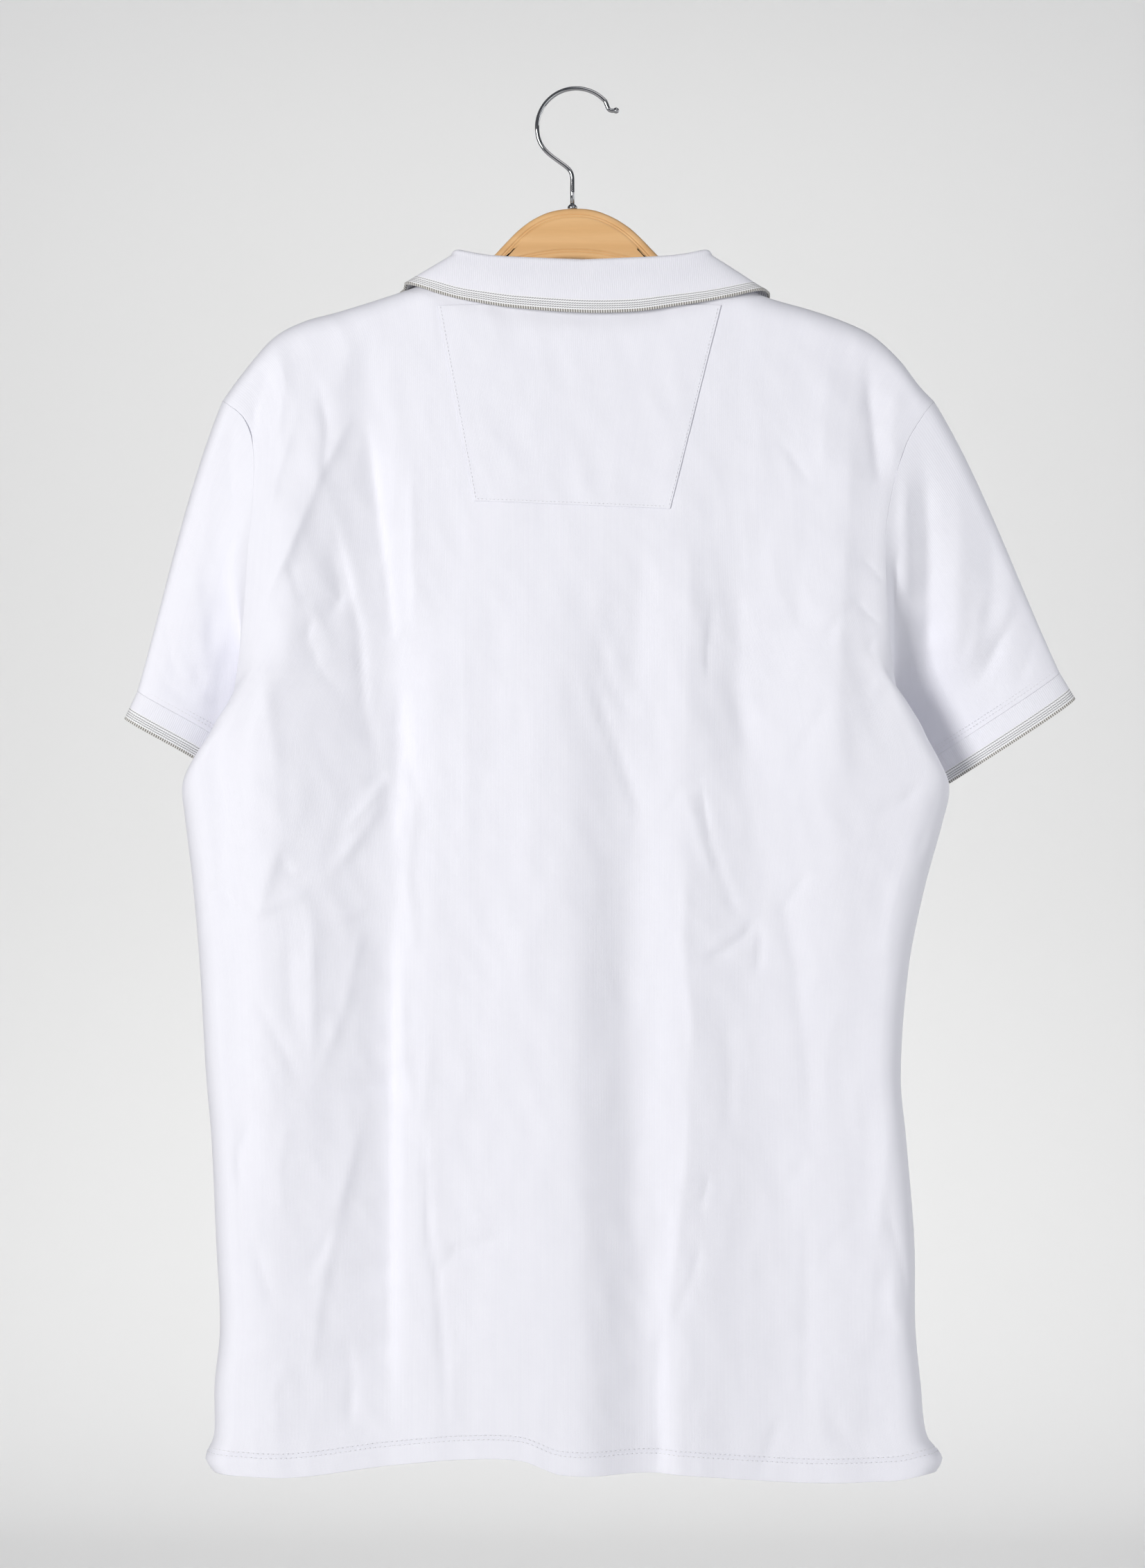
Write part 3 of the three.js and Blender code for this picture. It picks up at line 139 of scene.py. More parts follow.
# the points that a crease runs through, width to its left, width to its right, height out
# Left and right are as seen when looking down a crease that runs downwards.
CREASES = {
    "back": [
        (((-137, -201), (-163, -252), (-184, -304), (-206, -346)), 15, 5, 3.2),
        (((-164, -192), (-159, -222), (-161, -262)), 4, 8, -2.2),
        (((-176, -205), (-190, -250), (-200, -292)), 9, 5, 1.8),
        (((-189, -165), (-187, -198), (-193, -240)), 6, 9, 2.0),
        (((-196, -180), (-206, -214), (-205, -236)), 7, 4, -1.8),
        (((-135, -204), (-124, -290), (-117, -350), (-110, -382)), 8, 3, -2.4),
        (((-158, -268), (-147, -315), (-138, -352), (-135, -400), (-124, -446)), 5, 3, -1.9),
        (((-157, -292), (-150, -330), (-160, -348)), 8, 5, -2.2),
        (((-184, -304), (-177, -328), (-168, -338)), 3, 5, -1.2),
        (((-167, -338), (-171, -356), (-164, -376), (-149, -394)), 5, 3, -1.6),
        (((-172, -330), (-160, -352), (-152, -372)), 4, 3, 0.8),
        (((-205, -345), (-193, -418), (-187, -486)), 14, 6, 1.8),
        (((-105, -234), (-104, -300), (-103, -366)), 2.5, 3.5, 0.9),
        (((-116, -500), (-117, -600), (-118, -740), (-118, -880)), 26, 4.5, -4.6),
        (((-113, -372), (-112, -420), (-115, -500)), 22, 3.5, -3.0),
        (((-112, -348), (-116, -361), (-119, -352)), 2.5, 3, 1.0),
        (((-112, -382), (-108, -430), (-101, -452), (-106, -468)), 4, 3, -1.6),
        (((-150, -484), (-132, -462), (-117, -442)), 4, 4, 1.5),
        (((-138, -452), (-122, -446), (-108, -462)), 3, 4, -1.2),
        (((-126, -430), (-116, -452), (-111, -478), (-114, -500)), 3, 4, 1.3),
        (((-101, -440), (-104, -476), (-107, -504), (-103, -552), (-112, -566)), 4, 3, 1.3),
        (((-111, -566), (-110, -630), (-101, -664)), 4, 3, 1.0),
        (((-120, -456), (-138, -484), (-162, -516)), 6, 4, 1.8),
        (((-190, -494), (-178, -512), (-168, -506)), 6, 4, -1.4),
        (((-186, -482), (-194, -506), (-206, -542)), 12, 5, 1.8),
        (((-210, -536), (-190, -527), (-168, -520)), 3, 5, 1.3),
        (((-184, -526), (-182, -580), (-178, -622)), 9, 7, -1.8),
        (((-169, -520), (-168, -580), (-168, -642)), 4, 5, 1.6),
        (((-167, -537), (-150, -535), (-128, -529)), 4, 4, 1.1),
        (((-209, -578), (-188, -618), (-172, -650)), 4, 6, -1.6),
        (((-134, -532), (-148, -596), (-169, -650)), 7, 4, 1.7),
        (((-246, -524), (-226, -518), (-206, -540)), 4, 4, -1.6),
        (((-234, -524), (-241, -562), (-236, -602)), 4, 6, -1.6),
        (((-130, -640), (-146, -704), (-156, -742), (-164, -786), (-171, -850)), 10, 5, 1.8),
        (((-204, -656), (-216, -690), (-213, -716)), 4, 5, -1.2),
        (((-182, -660), (-190, -696), (-186, -730)), 6, 6, 1.0),
        (((-206, -738), (-200, -766), (-190, -792)), 4, 5, -1.1),
        (((-222, -800), (-206, -808), (-196, -800)), 3, 4, -0.9),
        (((-150, -722), (-160, -748), (-176, -772)), 5, 4, -1.2),
        (((-186, -820), (-194, -846), (-188, -870)), 5, 6, 1.0),
        (((-148, -800), (-142, -836), (-146, -872)), 5, 4, -1.1),
        (((-97, -664), (-93, -738), (-88, -768), (-84, -812), (-82, -872)), 3, 2.5, -1.5),
        (((-92, -600), (-95, -640), (-97, -672)), 4, 4, 0.7),
        (((-90, -766), (-76, -752), (-40, -742)), 2.5, 4, -1.3),
        (((-94, -750), (-84, -756), (-76, -752)), 3, 3, 0.8),
        (((-136, -748), (-114, -756), (-94, -762)), 3, 3, -0.6),
        (((-62, -440), (-56, -462), (-60, -478)), 4, 4, -0.5),
        (((15, -345), (20, -378), (44, -422)), 2.5, 3.5, -1.2),
        (((4, -362), (20, -408), (40, -462), (46, -486)), 3, 4, -1.4),
        (((22, -352), (34, -382), (52, -412)), 3, 3, 0.7),
        (((92, -322), (86, -362), (87, -394)), 3, 5, -1.1),
        (((98, -370), (110, -420), (112, -470)), 8, 8, -1.0),
        (((55, -474), (68, -454), (92, -440)), 3, 3, -0.8),
        (((80, -438), (88, -488), (103, -528), (114, -546)), 4, 3, -1.6),
        (((70, -446), (80, -484), (90, -512)), 4, 4, 0.9),
        (((152, -506), (142, -520), (131, -538)), 3, 3, -1.2),
        (((117, -532), (112, -547), (98, -558), (80, -566)), 3, 3, -1.4),
        (((116, -534), (121, -552), (117, -578)), 3, 3, -1.2),
        (((84, -556), (98, -548), (112, -543)), 3, 3, 0.8),
        (((73, -486), (70, -556), (76, -600), (76, -650)), 4, 6, 1.1),
        (((76, -640), (71, -704), (64, -764), (58, -830)), 4, 6, 1.0),
        (((130, -500), (142, -566), (151, -640), (152, -700)), 6, 10, -1.2),
        (((152, -690), (144, -700), (136, -704)), 3, 3, -0.9),
        (((150, -720), (150, -790), (149, -860)), 5, 8, -1.0),
        (((180, -728), (168, -744), (158, -762)), 3, 4, -0.7),
        (((6, -714), (36, -716), (66, -718)), 3, 3, -0.8),
        (((66, -719), (82, -722), (87, -706), (80, -694)), 3, 3, -0.9),
        (((84, -738), (76, -768), (62, -802)), 3, 4, -0.9),
        (((56, -790), (55, -840), (56, -905)), 4, 3, -2.4),
        (((18, -760), (22, -800), (34, -850)), 6, 6, 0.8),
        (((98, -600), (101, -640), (100, -680)), 5, 5, -0.8),
        (((128, -222), (142, -242), (156, -262)), 3, 3, -0.9),
        (((188, -170), (191, -205), (197, -264)), 6, 7, -3.4),
        (((166, -168), (162, -210), (160, -262)), 10, 14, 1.6),
        (((210, -186), (206, -214), (206, -250)), 7, 7, 1.6),
        (((184, -304), (192, -311), (201, -322)), 3, 3, -1.0),
        (((158, -364), (170, -344), (190, -328)), 3, 4, -1.0),
        (((180, -330), (190, -342), (200, -348)), 3, 3, -0.9),
        (((186, -368), (194, -356), (203, -352)), 3, 3, -0.8),
        (((190, -396), (198, -384), (206, -380)), 3, 3, 0.8),
        (((150, -270), (146, -320), (142, -372)), 8, 12, -1.0),
        (((166, -392), (150, -420), (138, -446)), 4, 6, -0.9),
        (((226, -446), (212, -462), (190, -470)), 4, 4, -1.3),
        (((238, -452), (230, -476), (220, -502)), 5, 4, -1.8),
        (((234, -496), (220, -520), (214, -548)), 5, 4, -1.6),
        (((212, -500), (204, -530), (200, -570)), 6, 6, 1.2),
        (((206, -640), (200, -700), (192, -770), (186, -848)), 12, 7, 1.6),
        (((200, -716), (208, -748), (221, -797)), 3, 3, -1.4),
        (((204, -764), (206, -790), (222, -812)), 6, 5, 1.6),
        (((160, -856), (176, -872), (198, -882)), 5, 5, -1.2),
        (((134, -856), (126, -880), (118, -900)), 4, 5, -1.0),
        (((-30, -380), (-30, -500), (-34, -640)), 16, 14, 1.1),
        (((-72, -300), (-70, -400), (-66, -560)), 14, 12, 1.1),
        (((44, -290), (40, -350), (42, -420)), 10, 14, -1.3),
        (((76, -290), (74, -370), (72, -450)), 14, 12, 1.5),
        (((108, -280), (106, -370), (110, -470)), 14, 16, -2.2),
        (((178, -190), (176, -280), (170, -380), (176, -480)), 24, 10, 2.8),
    ],
    "front": [
        (((-196, -368), (-188, -420), (-180, -470)), 14, 12, -2),
        (((-150, -260), (-164, -310), (-180, -360)), 12, 16, 2.4),
        (((150, -255), (168, -300), (190, -350)), 14, 14, 2.2),
        (((60, -420), (78, -480), (90, -540)), 7, 9, -1.6),
        (((120, -560), (124, -630), (124, -700)), 8, 10, -1.6),
        (((-90, -560), (-86, -640), (-88, -720)), 7, 10, -1.6),
        (((-30, -620), (-32, -710), (-26, -800)), 16, 14, 1.6),
        (((170, -520), (164, -580), (150, -640)), 8, 7, -1.8),
        (((-200, -560), (-176, -546), (-150, -540)), 5, 5, -1.5),
        (((40, -720), (70, -724), (100, -716)), 4, 4, -0.9),
        (((-170, -700), (-178, -780), (-176, -860)), 12, 10, 1.8),
        (((20, -780), (24, -840), (22, -900)), 6, 6, -1.8),
        (((-120, -470), (-100, -500), (-104, -548)), 5, 4, -1.3),
        (((-210, -620), (-190, -660), (-194, -710)), 5, 6, -1.3),
        (((190, -700), (180, -760), (184, -830)), 6, 6, -1.5),
        (((70, -580), (60, -640), (66, -690)), 5, 5, 1.1),
    ],
}
# how many widths out a crease is followed, how deep the creases are against their rows,
# the share of a crease's run over which each end fades, and the length of its waver
CREASE_REACH = 2.6
CREASE_DEPTH = 1.35
CREASE_TAPER = 0.3
CREASE_WAVER = 17
CREASE_FALL, CREASE_ROUNDNESS = 1.15, 1.35
CREASE_SIDE_FADE = 12
# size across, size down, height
CRUMPLE = {"slow": (46, 70, 0.9), "quick": (15, 24, 0.35), "sharp": (21, 44, -1.1)}
CRUMPLE_SLANT = 0.35
CRUMPLE_SIDE_FADE = 30
DOME_TOP_Z, DOME_FADE = -150, 150


def clamp(value, low, high):
    return min(max(value, low), high)


def smooth(share):
    t = clamp(share, 0.0, 1.0)
    return t * t * (3 - 2 * t)


def lerp(a, b, t):
    return a + (b - a) * t


def along(rows, column, at):
    """The value of one column of a table, on a smooth line through its rows."""
    last = len(rows) - 1
    place = clamp(at, rows[0][0], rows[last][0])
    i = 0
    while i < last - 1 and place > rows[i + 1][0]:
        i += 1
    before, start, stop, after = (rows[clamp(n, 0, last)] for n in (i - 1, i, i + 1, i + 2))
    span = stop[0] - start[0]
    t = (place - start[0]) / span
    first = (stop[column] - before[column]) / (stop[0] - before[0]) * span
    second = (after[column] - start[column]) / (after[0] - start[0]) * span
    return (
        start[column] * (2 * t**3 - 3 * t**2 + 1)
        + stop[column] * (3 * t**2 - 2 * t**3)
        + first * (t**3 - 2 * t**2 + t)
        + second * (t**3 - t**2)
    )


def table_line(rows, column, low, high, steps):
    """A table's column worked out once at even steps, for quick reading."""
    values = [along(rows, column, lerp(low, high, i / steps)) for i in range(steps + 1)]

    def read(at):
        place = clamp((at - low) / (high - low), 0, 1) * steps
        i = min(int(place), steps - 1)
        return lerp(values[i], values[i + 1], place - i)

    return read


panel_column = {"back": 1, "front": 2}
side_column = {"left": 1, "right": 2}
side_line = {s: table_line(OUTLINE, c, -896, -202, 1400) for s, c in side_column.items()}
turn_line = {p: table_line(EDGE_TURN, c, -896, -202, 1400) for p, c in panel_column.items()}
depth_line = {p: table_line(DEPTHS, c, -896, -119, 800) for p, c in panel_column.items()}
hem_line = {p: table_line(HEM_LINE, c, -240, 240, 600) for p, c in panel_column.items()}
shoulder_line = table_line(SHOULDER_LINE, 1, -228, 233.6, 1800)


def neck_share(x):
    return (x - MIDDLE_X) / NECK_HALF_WIDTH


def neck_round(x):
    return math.sqrt(max(0.0, 1 - neck_share(x) ** 2))


def neck_depth(panel, around):
    return NECK[panel][1] * around**NECK_SQUARENESS


def top_z(panel, x):
    if abs(neck_share(x)) >= 1:
        return shoulder_line(x)
    drop, _, bend = NECK[panel]
    return NECK_POINT_Z - drop * neck_round(x) ** bend


def back_relief(x, z):
    """Height out of the back's long folds, on smooth lines between one height's tops and feet."""
    rows = BACK_RELIEF
    place = clamp(z, rows[0][0], rows[-1][0])
    i = 0
    while i < len(rows) - 2 and place > rows[i + 1][0]:
        i += 1
    t = smooth((place - rows[i][0]) / (rows[i + 1][0] - rows[i][0]))
    spots = [
        (lerp(a[0], b[0], t), lerp(a[1], b[1], t)) for a, b in zip(rows[i][1:], rows[i + 1][1:])
    ]
    spots = [(RELIEF_SIDES[0], 0), *spots, (RELIEF_SIDES[1], 0)]
    if not spots[0][0] < x < spots[-1][0]:
        return 0
    for (x0, high0), (x1, high1) in zip(spots, spots[1:]):
        if x <= x1:
            return lerp(high0, high1, smooth((x - x0) / (x1 - x0)))
    return 0


def front_folds(x, z):
    total = 0
    for upper_x, upper_z, lower_x, lower_z, left, right, height in FRONT_FOLDS:
        way = (upper_z - z) / (upper_z - lower_z)
        if 0 < way < 1:
            off = x - lerp(upper_x, lower_x, way)
            share = abs(off) / (left if off < 0 else right)
            if share < 1:
                ends = smooth((upper_z - z) / FOLD_FADE) * smooth((z - lower_z) / FOLD_FADE + 0.4)
                total += height * ends * smooth(1 - share)
    return total


def crease_table(rows):
    """Each crease with its box and the length of its run, for quick reading."""
    table = []
    for points, left, right, height in rows:
        reach = CREASE_REACH * max(left, right)
        xs, zs = [p[0] for p in points], [p[1] for p in points]
        box = (min(xs) - reach, max(xs) + reach, min(zs) - reach, max(zs) + reach)
        runs, travelled = [], 0.0
        for (x0, z0), (x1, z1) in zip(points, points[1:]):
            length = math.hypot(x1 - x0, z1 - z0)
            runs.append((x0, z0, (x1 - x0) / length, (z1 - z0) / length, length, travelled))
            travelled += length
        table.append((box, runs, travelled, left, right, height))
    return table


def creases(table, x, z):
    """How far the creases and ridges of one table move the cloth out at one place."""
    total = 0
    for box, runs, whole, left, right, height in table:
        if not (box[0] < x < box[1] and box[2] < z < box[3]):
            continue
        best = None
        for x0, z0, run_x, run_z, length, travelled in runs:
            off_x, off_z = x - x0, z - z0
            way = clamp(off_x * run_x + off_z * run_z, 0, length)
            away = math.hypot(off_x - run_x * way, off_z - run_z * way)
            if best is None or away < best[0]:
                side = off_z * run_x - off_x * run_z
                best = (away, side, travelled + way)
        away, side, way = best
        share = away / (right if side > 0 else left)
        if share < CREASE_REACH:
            taper = CREASE_TAPER * whole
            ends = smooth(way / taper) * smooth((whole - way) / taper)
            uneven = 0.8 + 0.5 * noise.noise(Vector((way / CREASE_WAVER, whole, left)))
            total += height * ends * uneven * math.exp(-CREASE_FALL * share**CREASE_ROUNDNESS)
    return total * CREASE_DEPTH


crease_tables = {panel: crease_table(rows) for panel, rows in CREASES.items()}


def crumple(x, z, where):
    """Small uneven dents all over, longer down the cloth than across it."""

    def dents(kind, x, z, shift):
        wide, long, _ = CRUMPLE[kind]
        return noise.noise(Vector((x / wide, z / long, where + shift)))

    slow = CRUMPLE["slow"][2] * dents("slow", x, z, 0)
    quick = CRUMPLE["quick"][2] * dents("quick", x, z, 4.6)
    slanted = dents("sharp", x + CRUMPLE_SLANT * z, z - CRUMPLE_SLANT * x, 9.2)
    return slow + quick + CRUMPLE["sharp"][2] * abs(slanted)


def panel_depth(panel, x, z, from_side, fine=True):
    dome = DOME * (1 - ((x - MIDDLE_X) / BODY_HALF_WIDTH) ** 2)
    dome *= smooth((DOME_TOP_Z - z) / DOME_FADE)
    long_folds = back_relief(x, z) if panel == "back" else front_folds(x, z)
    folds = long_folds * smooth(from_side / FOLD_SIDE_FADE)
    if fine:
        folds += creases(crease_tables[panel], x, z) * smooth(from_side / CREASE_SIDE_FADE)
        folds += crumple(x, z, FACING[panel] * 3.1) * smooth(from_side / CRUMPLE_SIDE_FADE)
    full = depth_line[panel](z) + dome + folds
    below = max(0.0, top_z(panel, x) - z)
    shoulder = math.sqrt(1 - (1 - min(below / SHOULDER_ROUND, 1)) ** 2)
    edge = neck_depth(panel, neck_round(x))
    return edge + (full - edge) * shoulder


def side_x(side, z):
    turn = math.radians(max(0.0, turn_line["back"](z)))
    return side_line[side](z) + OUTWARD[side] * SIDE_ROUND * (1 - math.cos(turn))


def across_panel(panel, place, v):
    """One column of a panel, at height share v: its x, its turn round the side, its distance in.
    place is ('left' or 'right', share in from that side) or ('neck', share of the half neck)."""
    kind, share = place
    if kind == "neck":
        return MIDDLE_X + NECK_HALF_WIDTH * share, 90, BODY_HALF_WIDTH
    z = lerp(HEM_Z, SHOULDER_POINT_Z, v)
    extreme = side_x(kind, z)
    depth = depth_line[panel](z)
    quarter = math.pi / 2 * math.sqrt((SIDE_ROUND**2 + depth**2) / 2)
    start = turn_line[panel](z)
    corner = quarter * (90 - start) / 90
    flat_start = extreme - OUTWARD[kind] * SIDE_ROUND
    total = corner + abs(MIDDLE_X + OUTWARD[kind] * NECK_HALF_WIDTH - flat_start)
    distance = SEAM / 2 + share * (total - SEAM / 2)
    if distance >= corner:
        x = flat_start - OUTWARD[kind] * (distance - corner)
        return x, 90, abs(x - extreme)
    turn = start + distance / quarter * 90
    reach = SIDE_ROUND * (1 - math.cos(math.radians(turn)))
    return extreme - OUTWARD[kind] * reach, turn, reach


def panel_point(panel, place, v, fine=True):
    x, turn, from_side = across_panel(panel, place, v)
    top = top_z(panel, across_panel(panel, place, 1)[0])
    hem = hem_line[panel](across_panel(panel, place, 0)[0])
    z = lerp(hem, top, v)
    lift = math.sin(math.radians(turn))
    face = panel if lift >= 0 else {"back": "front", "front": "back"}[panel]
    out = panel_depth(face, x, z, from_side, fine) * lift
    return Vector((x, FACING[panel] * (SEAM / 2 + out), z))


EDGE_CELL = 0.0022
HIGH_FOOT, ROLL_FOOT = 0.42, 0.965


def panel_places(left_count, neck_count, right_count):
    """Places across a panel from its left side to its right, closer round the sides."""
    spread = {"left": left_count, "right": right_count}
    sides = {}
    for side, count in spread.items():
        shares = [(i / count) ** 1.2 for i in range(count)]
        sides[side] = [(side, share) for share in [shares[0], EDGE_CELL, *shares[1:]]]
    middle = []
    for i in range(neck_count + 1):
        even = 2 * i / neck_count - 1
        middle.append(("neck", lerp(even, math.sin(math.pi / 2 * even), 0.6)))
    return sides["left"] + middle + sides["right"][::-1]


def panel_heights(low_count, high_count):
    """Heights up a panel from 0 at the hem to 1 at the top, closer at the hem's edge, over the
    upper half, and where it rolls over the shoulder."""
    low = [0.0, 0.0006] + [HIGH_FOOT * i / low_count for i in range(1, low_count)]
    high = [lerp(HIGH_FOOT, ROLL_FOOT, i / high_count) for i in range(high_count)]
    roll = [lerp(ROLL_FOOT, 1, math.sin(math.pi / 2 * i / 12)) for i in range(13)]
    return low + high + roll


def cloth_grid(name, point, across, up, facing=None, closed=False, own=False):
    """A sheet of cloth made from a plain grid whose vertices move to point(column, row).
    Its UV map holds metres along the cloth, across and up. Where own is set, each row is measured
    across from its own middle and each column up its own length."""
    bm = bmesh.new()
    bmesh.ops.create_grid(bm, x_segments=across - 1, y_segments=up - 1, size=0.5)
    spots = {
        v: (round((v.co.x + 0.5) * (across - 1)), round((v.co.y + 0.5) * (up - 1)))
        for v in bm.verts
    }
    columns = [[point(c, r) for r in range(up)] for c in range(across)]
    middle = up // 2
    widths, heights = [0.0], [0.0]
    for c in range(1, across):
        widths.append(widths[-1] + (columns[c][middle] - columns[c - 1][middle]).length)
    half = across // 2
    for r in range(1, up):
        heights.append(heights[-1] + (columns[half][r] - columns[half][r - 1]).length)
    own_widths, own_heights = [], []
    if own:
        for r in range(up):
            line = [0.0]
            for c in range(1, across):
                line.append(line[-1] + (columns[c][r] - columns[c - 1][r]).length)
            own_widths.append([w - line[half] for w in line])
        for c in range(across):
            line = [0.0]
            for r in range(1, up):
                line.append(line[-1] + (columns[c][r] - columns[c][r - 1]).length)
            own_heights.append(line)
    layer = bm.loops.layers.uv.new("cloth")
    for face in bm.faces:
        for loop in face.loops:
            c, r = spots[loop.vert]
            spot = (widths[c], heights[r]) if not own else (own_widths[r][c], own_heights[c][r])
            loop[layer].uv = (spot[0] * MM, spot[1] * MM)
    for vert, (c, r) in spots.items():
        vert.co = columns[c][r] * MM
    if closed:
        bmesh.ops.remove_doubles(bm, verts=bm.verts, dist=1e-5)
        bmesh.ops.recalc_face_normals(bm, faces=bm.faces)
        centre = sum((v.co for v in bm.verts), Vector()) / len(bm.verts)
        if sum((f.calc_center_median() - centre).dot(f.normal) for f in bm.faces) < 0:
            bmesh.ops.reverse_faces(bm, faces=bm.faces)
    elif facing is not None:
        bm.normal_update()
        if sum(f.normal.dot(facing) for f in bm.faces) < 0:
            bmesh.ops.reverse_faces(bm, faces=bm.faces)
    mesh = bpy.data.meshes.new(name)
    bm.to_mesh(mesh)
    bm.free()
    mesh.shade_smooth()
    piece = bpy.data.objects.new(name, mesh)
    bpy.context.scene.collection.objects.link(piece)
    return piece


def give_wall(piece, thickness):
    wall = piece.modifiers.new("wall", "SOLIDIFY")
    wall.thickness = thickness * MM
    wall.offset = -1
    wall.use_even_offset = False


class Shade:
    """Small help for wiring one material's nodes."""

    def __init__(self, name):
        self.material = bpy.data.materials.new(name)
        self.material.use_nodes = True
        self.nodes = self.material.node_tree.nodes
        self.links = self.material.node_tree.links
        self.surface = self.nodes["Principled BSDF"]

    def add(self, kind, inputs=(), **settings):
        node = self.nodes.new(kind)
        for key, value in settings.items():
            setattr(node, key, value)
        for key, value in dict(inputs).items():
            self.set(node.inputs[key], value)
        return node

    def set(self, socket, value):
        if isinstance(value, bpy.types.NodeSocket):
            self.links.new(value, socket)
        else:
            socket.default_value = value

    def math(self, operation, *values):
        node = self.add("ShaderNodeMath", operation=operation)
        for i, value in enumerate(values):
            self.set(node.inputs[i], value)
        return node.outputs[0]

    def mix(self, share, first, second):
        node = self.add("ShaderNodeMix", data_type="RGBA")
        self.set(node.inputs[0], share)
        self.set(node.inputs[6], first)
        self.set(node.inputs[7], second)
        return node.outputs[2]

    def cloth_uv(self):
        source = self.add("ShaderNodeUVMap", uv_map="cloth")
        split = self.add("ShaderNodeSeparateXYZ", {0: source.outputs[0]})
        return split.outputs[0], split.outputs[1], source.outputs[0]

    def object_noise(self, scale, detail, roughness=0.5):
        place = self.add("ShaderNodeTexCoord")
        inputs = {"Vector": place.outputs["Object"], "Scale": scale, "Detail": detail}
        node = self.add("ShaderNodeTexNoise", {**inputs, "Roughness": roughness})
        return node.outputs[0]

    def wave(self, at, pitch):
        turns = self.math("MULTIPLY_ADD", at, 2 * math.pi / pitch, 0.0)
        return self.math("MULTIPLY_ADD", self.math("SINE", turns), 0.5, 0.5)

    def ramp(self, value, nothing, full, **settings):
        """0 where the value is at its nothing, 1 where it is at its full."""
        inputs = {0: value, 1: nothing, 2: full, 3: 0.0, 4: 1.0}
        return self.add("ShaderNodeMapRange", inputs, **settings).outputs[0]


WALE_PITCH = 0.0011
COURSE_PITCH = 0.0009


def knit_cloth(name, colour, darker_tone_and_shade, hem=None):
    """Fine single knit: faint upright wales, finer courses and a little fuzz, its tone uneven at
    random. Where hem is given, the cloth is pulled in along a line that far above its lower edge,
    and that line is darkened with painted shade."""
    shade = Shade(name)
    u, v, uv = shade.cloth_uv()
    drift = shade.math("MULTIPLY", shade.object_noise(24, 3), 0.0006)
    wale = shade.wave(shade.math("ADD", u, drift), WALE_PITCH)
    stepped = shade.math("ADD", v, shade.math("MULTIPLY", wale, COURSE_PITCH / 2))
    course = shade.wave(stepped, COURSE_PITCH)
    uneven = shade.object_noise(70, 4)
    fuzz = shade.object_noise(1500, 2)
    streaks = shade.add("ShaderNodeMapping", {"Vector": uv, "Scale": (520.0, 9.0, 1.0)})
    streak = shade.add(
        "ShaderNodeTexNoise", {"Vector": streaks.outputs[0], "Scale": 1.0, "Detail": 2.0}
    ).outputs[0]
    height = shade.math("MULTIPLY_ADD", course, 0.35, shade.math("MULTIPLY", wale, 0.75))
    height = shade.math("MULTIPLY_ADD", streak, 0.9, height)
    height = shade.math("MULTIPLY_ADD", fuzz, 0.5, height)
    tone_and_hem_shade = shade.math("MULTIPLY_ADD", streak, 0.5, shade.math("MULTIPLY_ADD", uneven, 0.35, -0.1))
    if hem is not None:
        away = shade.math("ABSOLUTE", shade.math("SUBTRACT", v, hem))
        hem_groove_and_shade = shade.ramp(away, 0.0026, 0.0006, interpolation_type="SMOOTHSTEP")
        height = shade.math("MULTIPLY_ADD", hem_groove_and_shade, -5.0, height)
        # Painted shade: the colour turns darker along the pulled-in hem line, as shade in its
        # groove.
        tone_and_hem_shade = shade.math("ADD", tone_and_hem_shade, shade.math("MULTIPLY", hem_groove_and_shade, 0.3))
    bump = shade.add("ShaderNodeBump", {"Strength": 0.34, "Distance": 0.00012, "Height": height})
    shade.set(shade.surface.inputs["Base Color"], shade.mix(tone_and_hem_shade, colour, darker_tone_and_shade))
    shade.set(shade.surface.inputs["Normal"], bump.outputs[0])
    shade.surface.inputs["Roughness"].default_value = 0.86
    shade.surface.inputs["Sheen Weight"].default_value = 0.22
    shade.surface.inputs["Sheen Roughness"].default_value = 0.5
    shade.surface.inputs["Specular IOR Level"].default_value = 0.25
    return shade.material


# The second colour is the darker end of the knit's random tone, and in the hemmed knit also the
# painted shade of its hem line.
white_knit = knit_cloth("white_knit", (0.86, 0.862, 0.925, 1), (0.80, 0.802, 0.875, 1))
hemmed_knit = knit_cloth("hemmed_knit", (0.86, 0.862, 0.925, 1), (0.80, 0.802, 0.875, 1), hem=0.014)


def panel_piece(panel, side_counts, neck_count, row_counts):
    places = panel_places(side_counts[0], neck_count, side_counts[1])
    heights = panel_heights(*row_counts)
    piece = cloth_grid(
        f"{panel}_cloth",
        lambda c, r: panel_point(panel, places[c], heights[r]),
        len(places),
        len(heights),
        facing=Vector((0, FACING[panel], 0)),
    )
    piece.data.materials.append(hemmed_knit)
    return piece


back = panel_piece("back", (74, 62), 60, (76, 156))
give_wall(back, JERSEY)
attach(back, "root")
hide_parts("back")

# Front panel
# The front is the same knit, cut lower at the neck, with a slit that the placket closes.
# It hangs almost flat and is turned away from the view.
SLIT_HALF_WIDTH = 14
PLACKET_LOWER_Z = -362

front = panel_piece("front", (46, 46), 40, (60, 90))
slit = bmesh.new()
slit.from_mesh(front.data)
inside = [
    f
    for f in slit.faces
    if all(
        abs(v.co.x / MM - MIDDLE_X) < SLIT_HALF_WIDTH and v.co.z / MM > PLACKET_LOWER_Z
        for v in f.verts
    )
]
bmesh.ops.delete(slit, geom=inside, context="FACES")
slit.to_mesh(front.data)
slit.free()
give_wall(front, JERSEY)
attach(front, "root")
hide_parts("front")

# Hem stitch
# The hem is turned in and held by two rows of white thread, 14 mm above the edge.
# Each stitch is a short raised bead of thread that follows the cloth.
HEM_STITCH_HEIGHTS = (12.6, 15.4)
STITCH_PITCH = 3.2
STITCH_LENGTH = 2.5
THREAD_RADIUS = 0.3
BEAD_RISE = 0.35


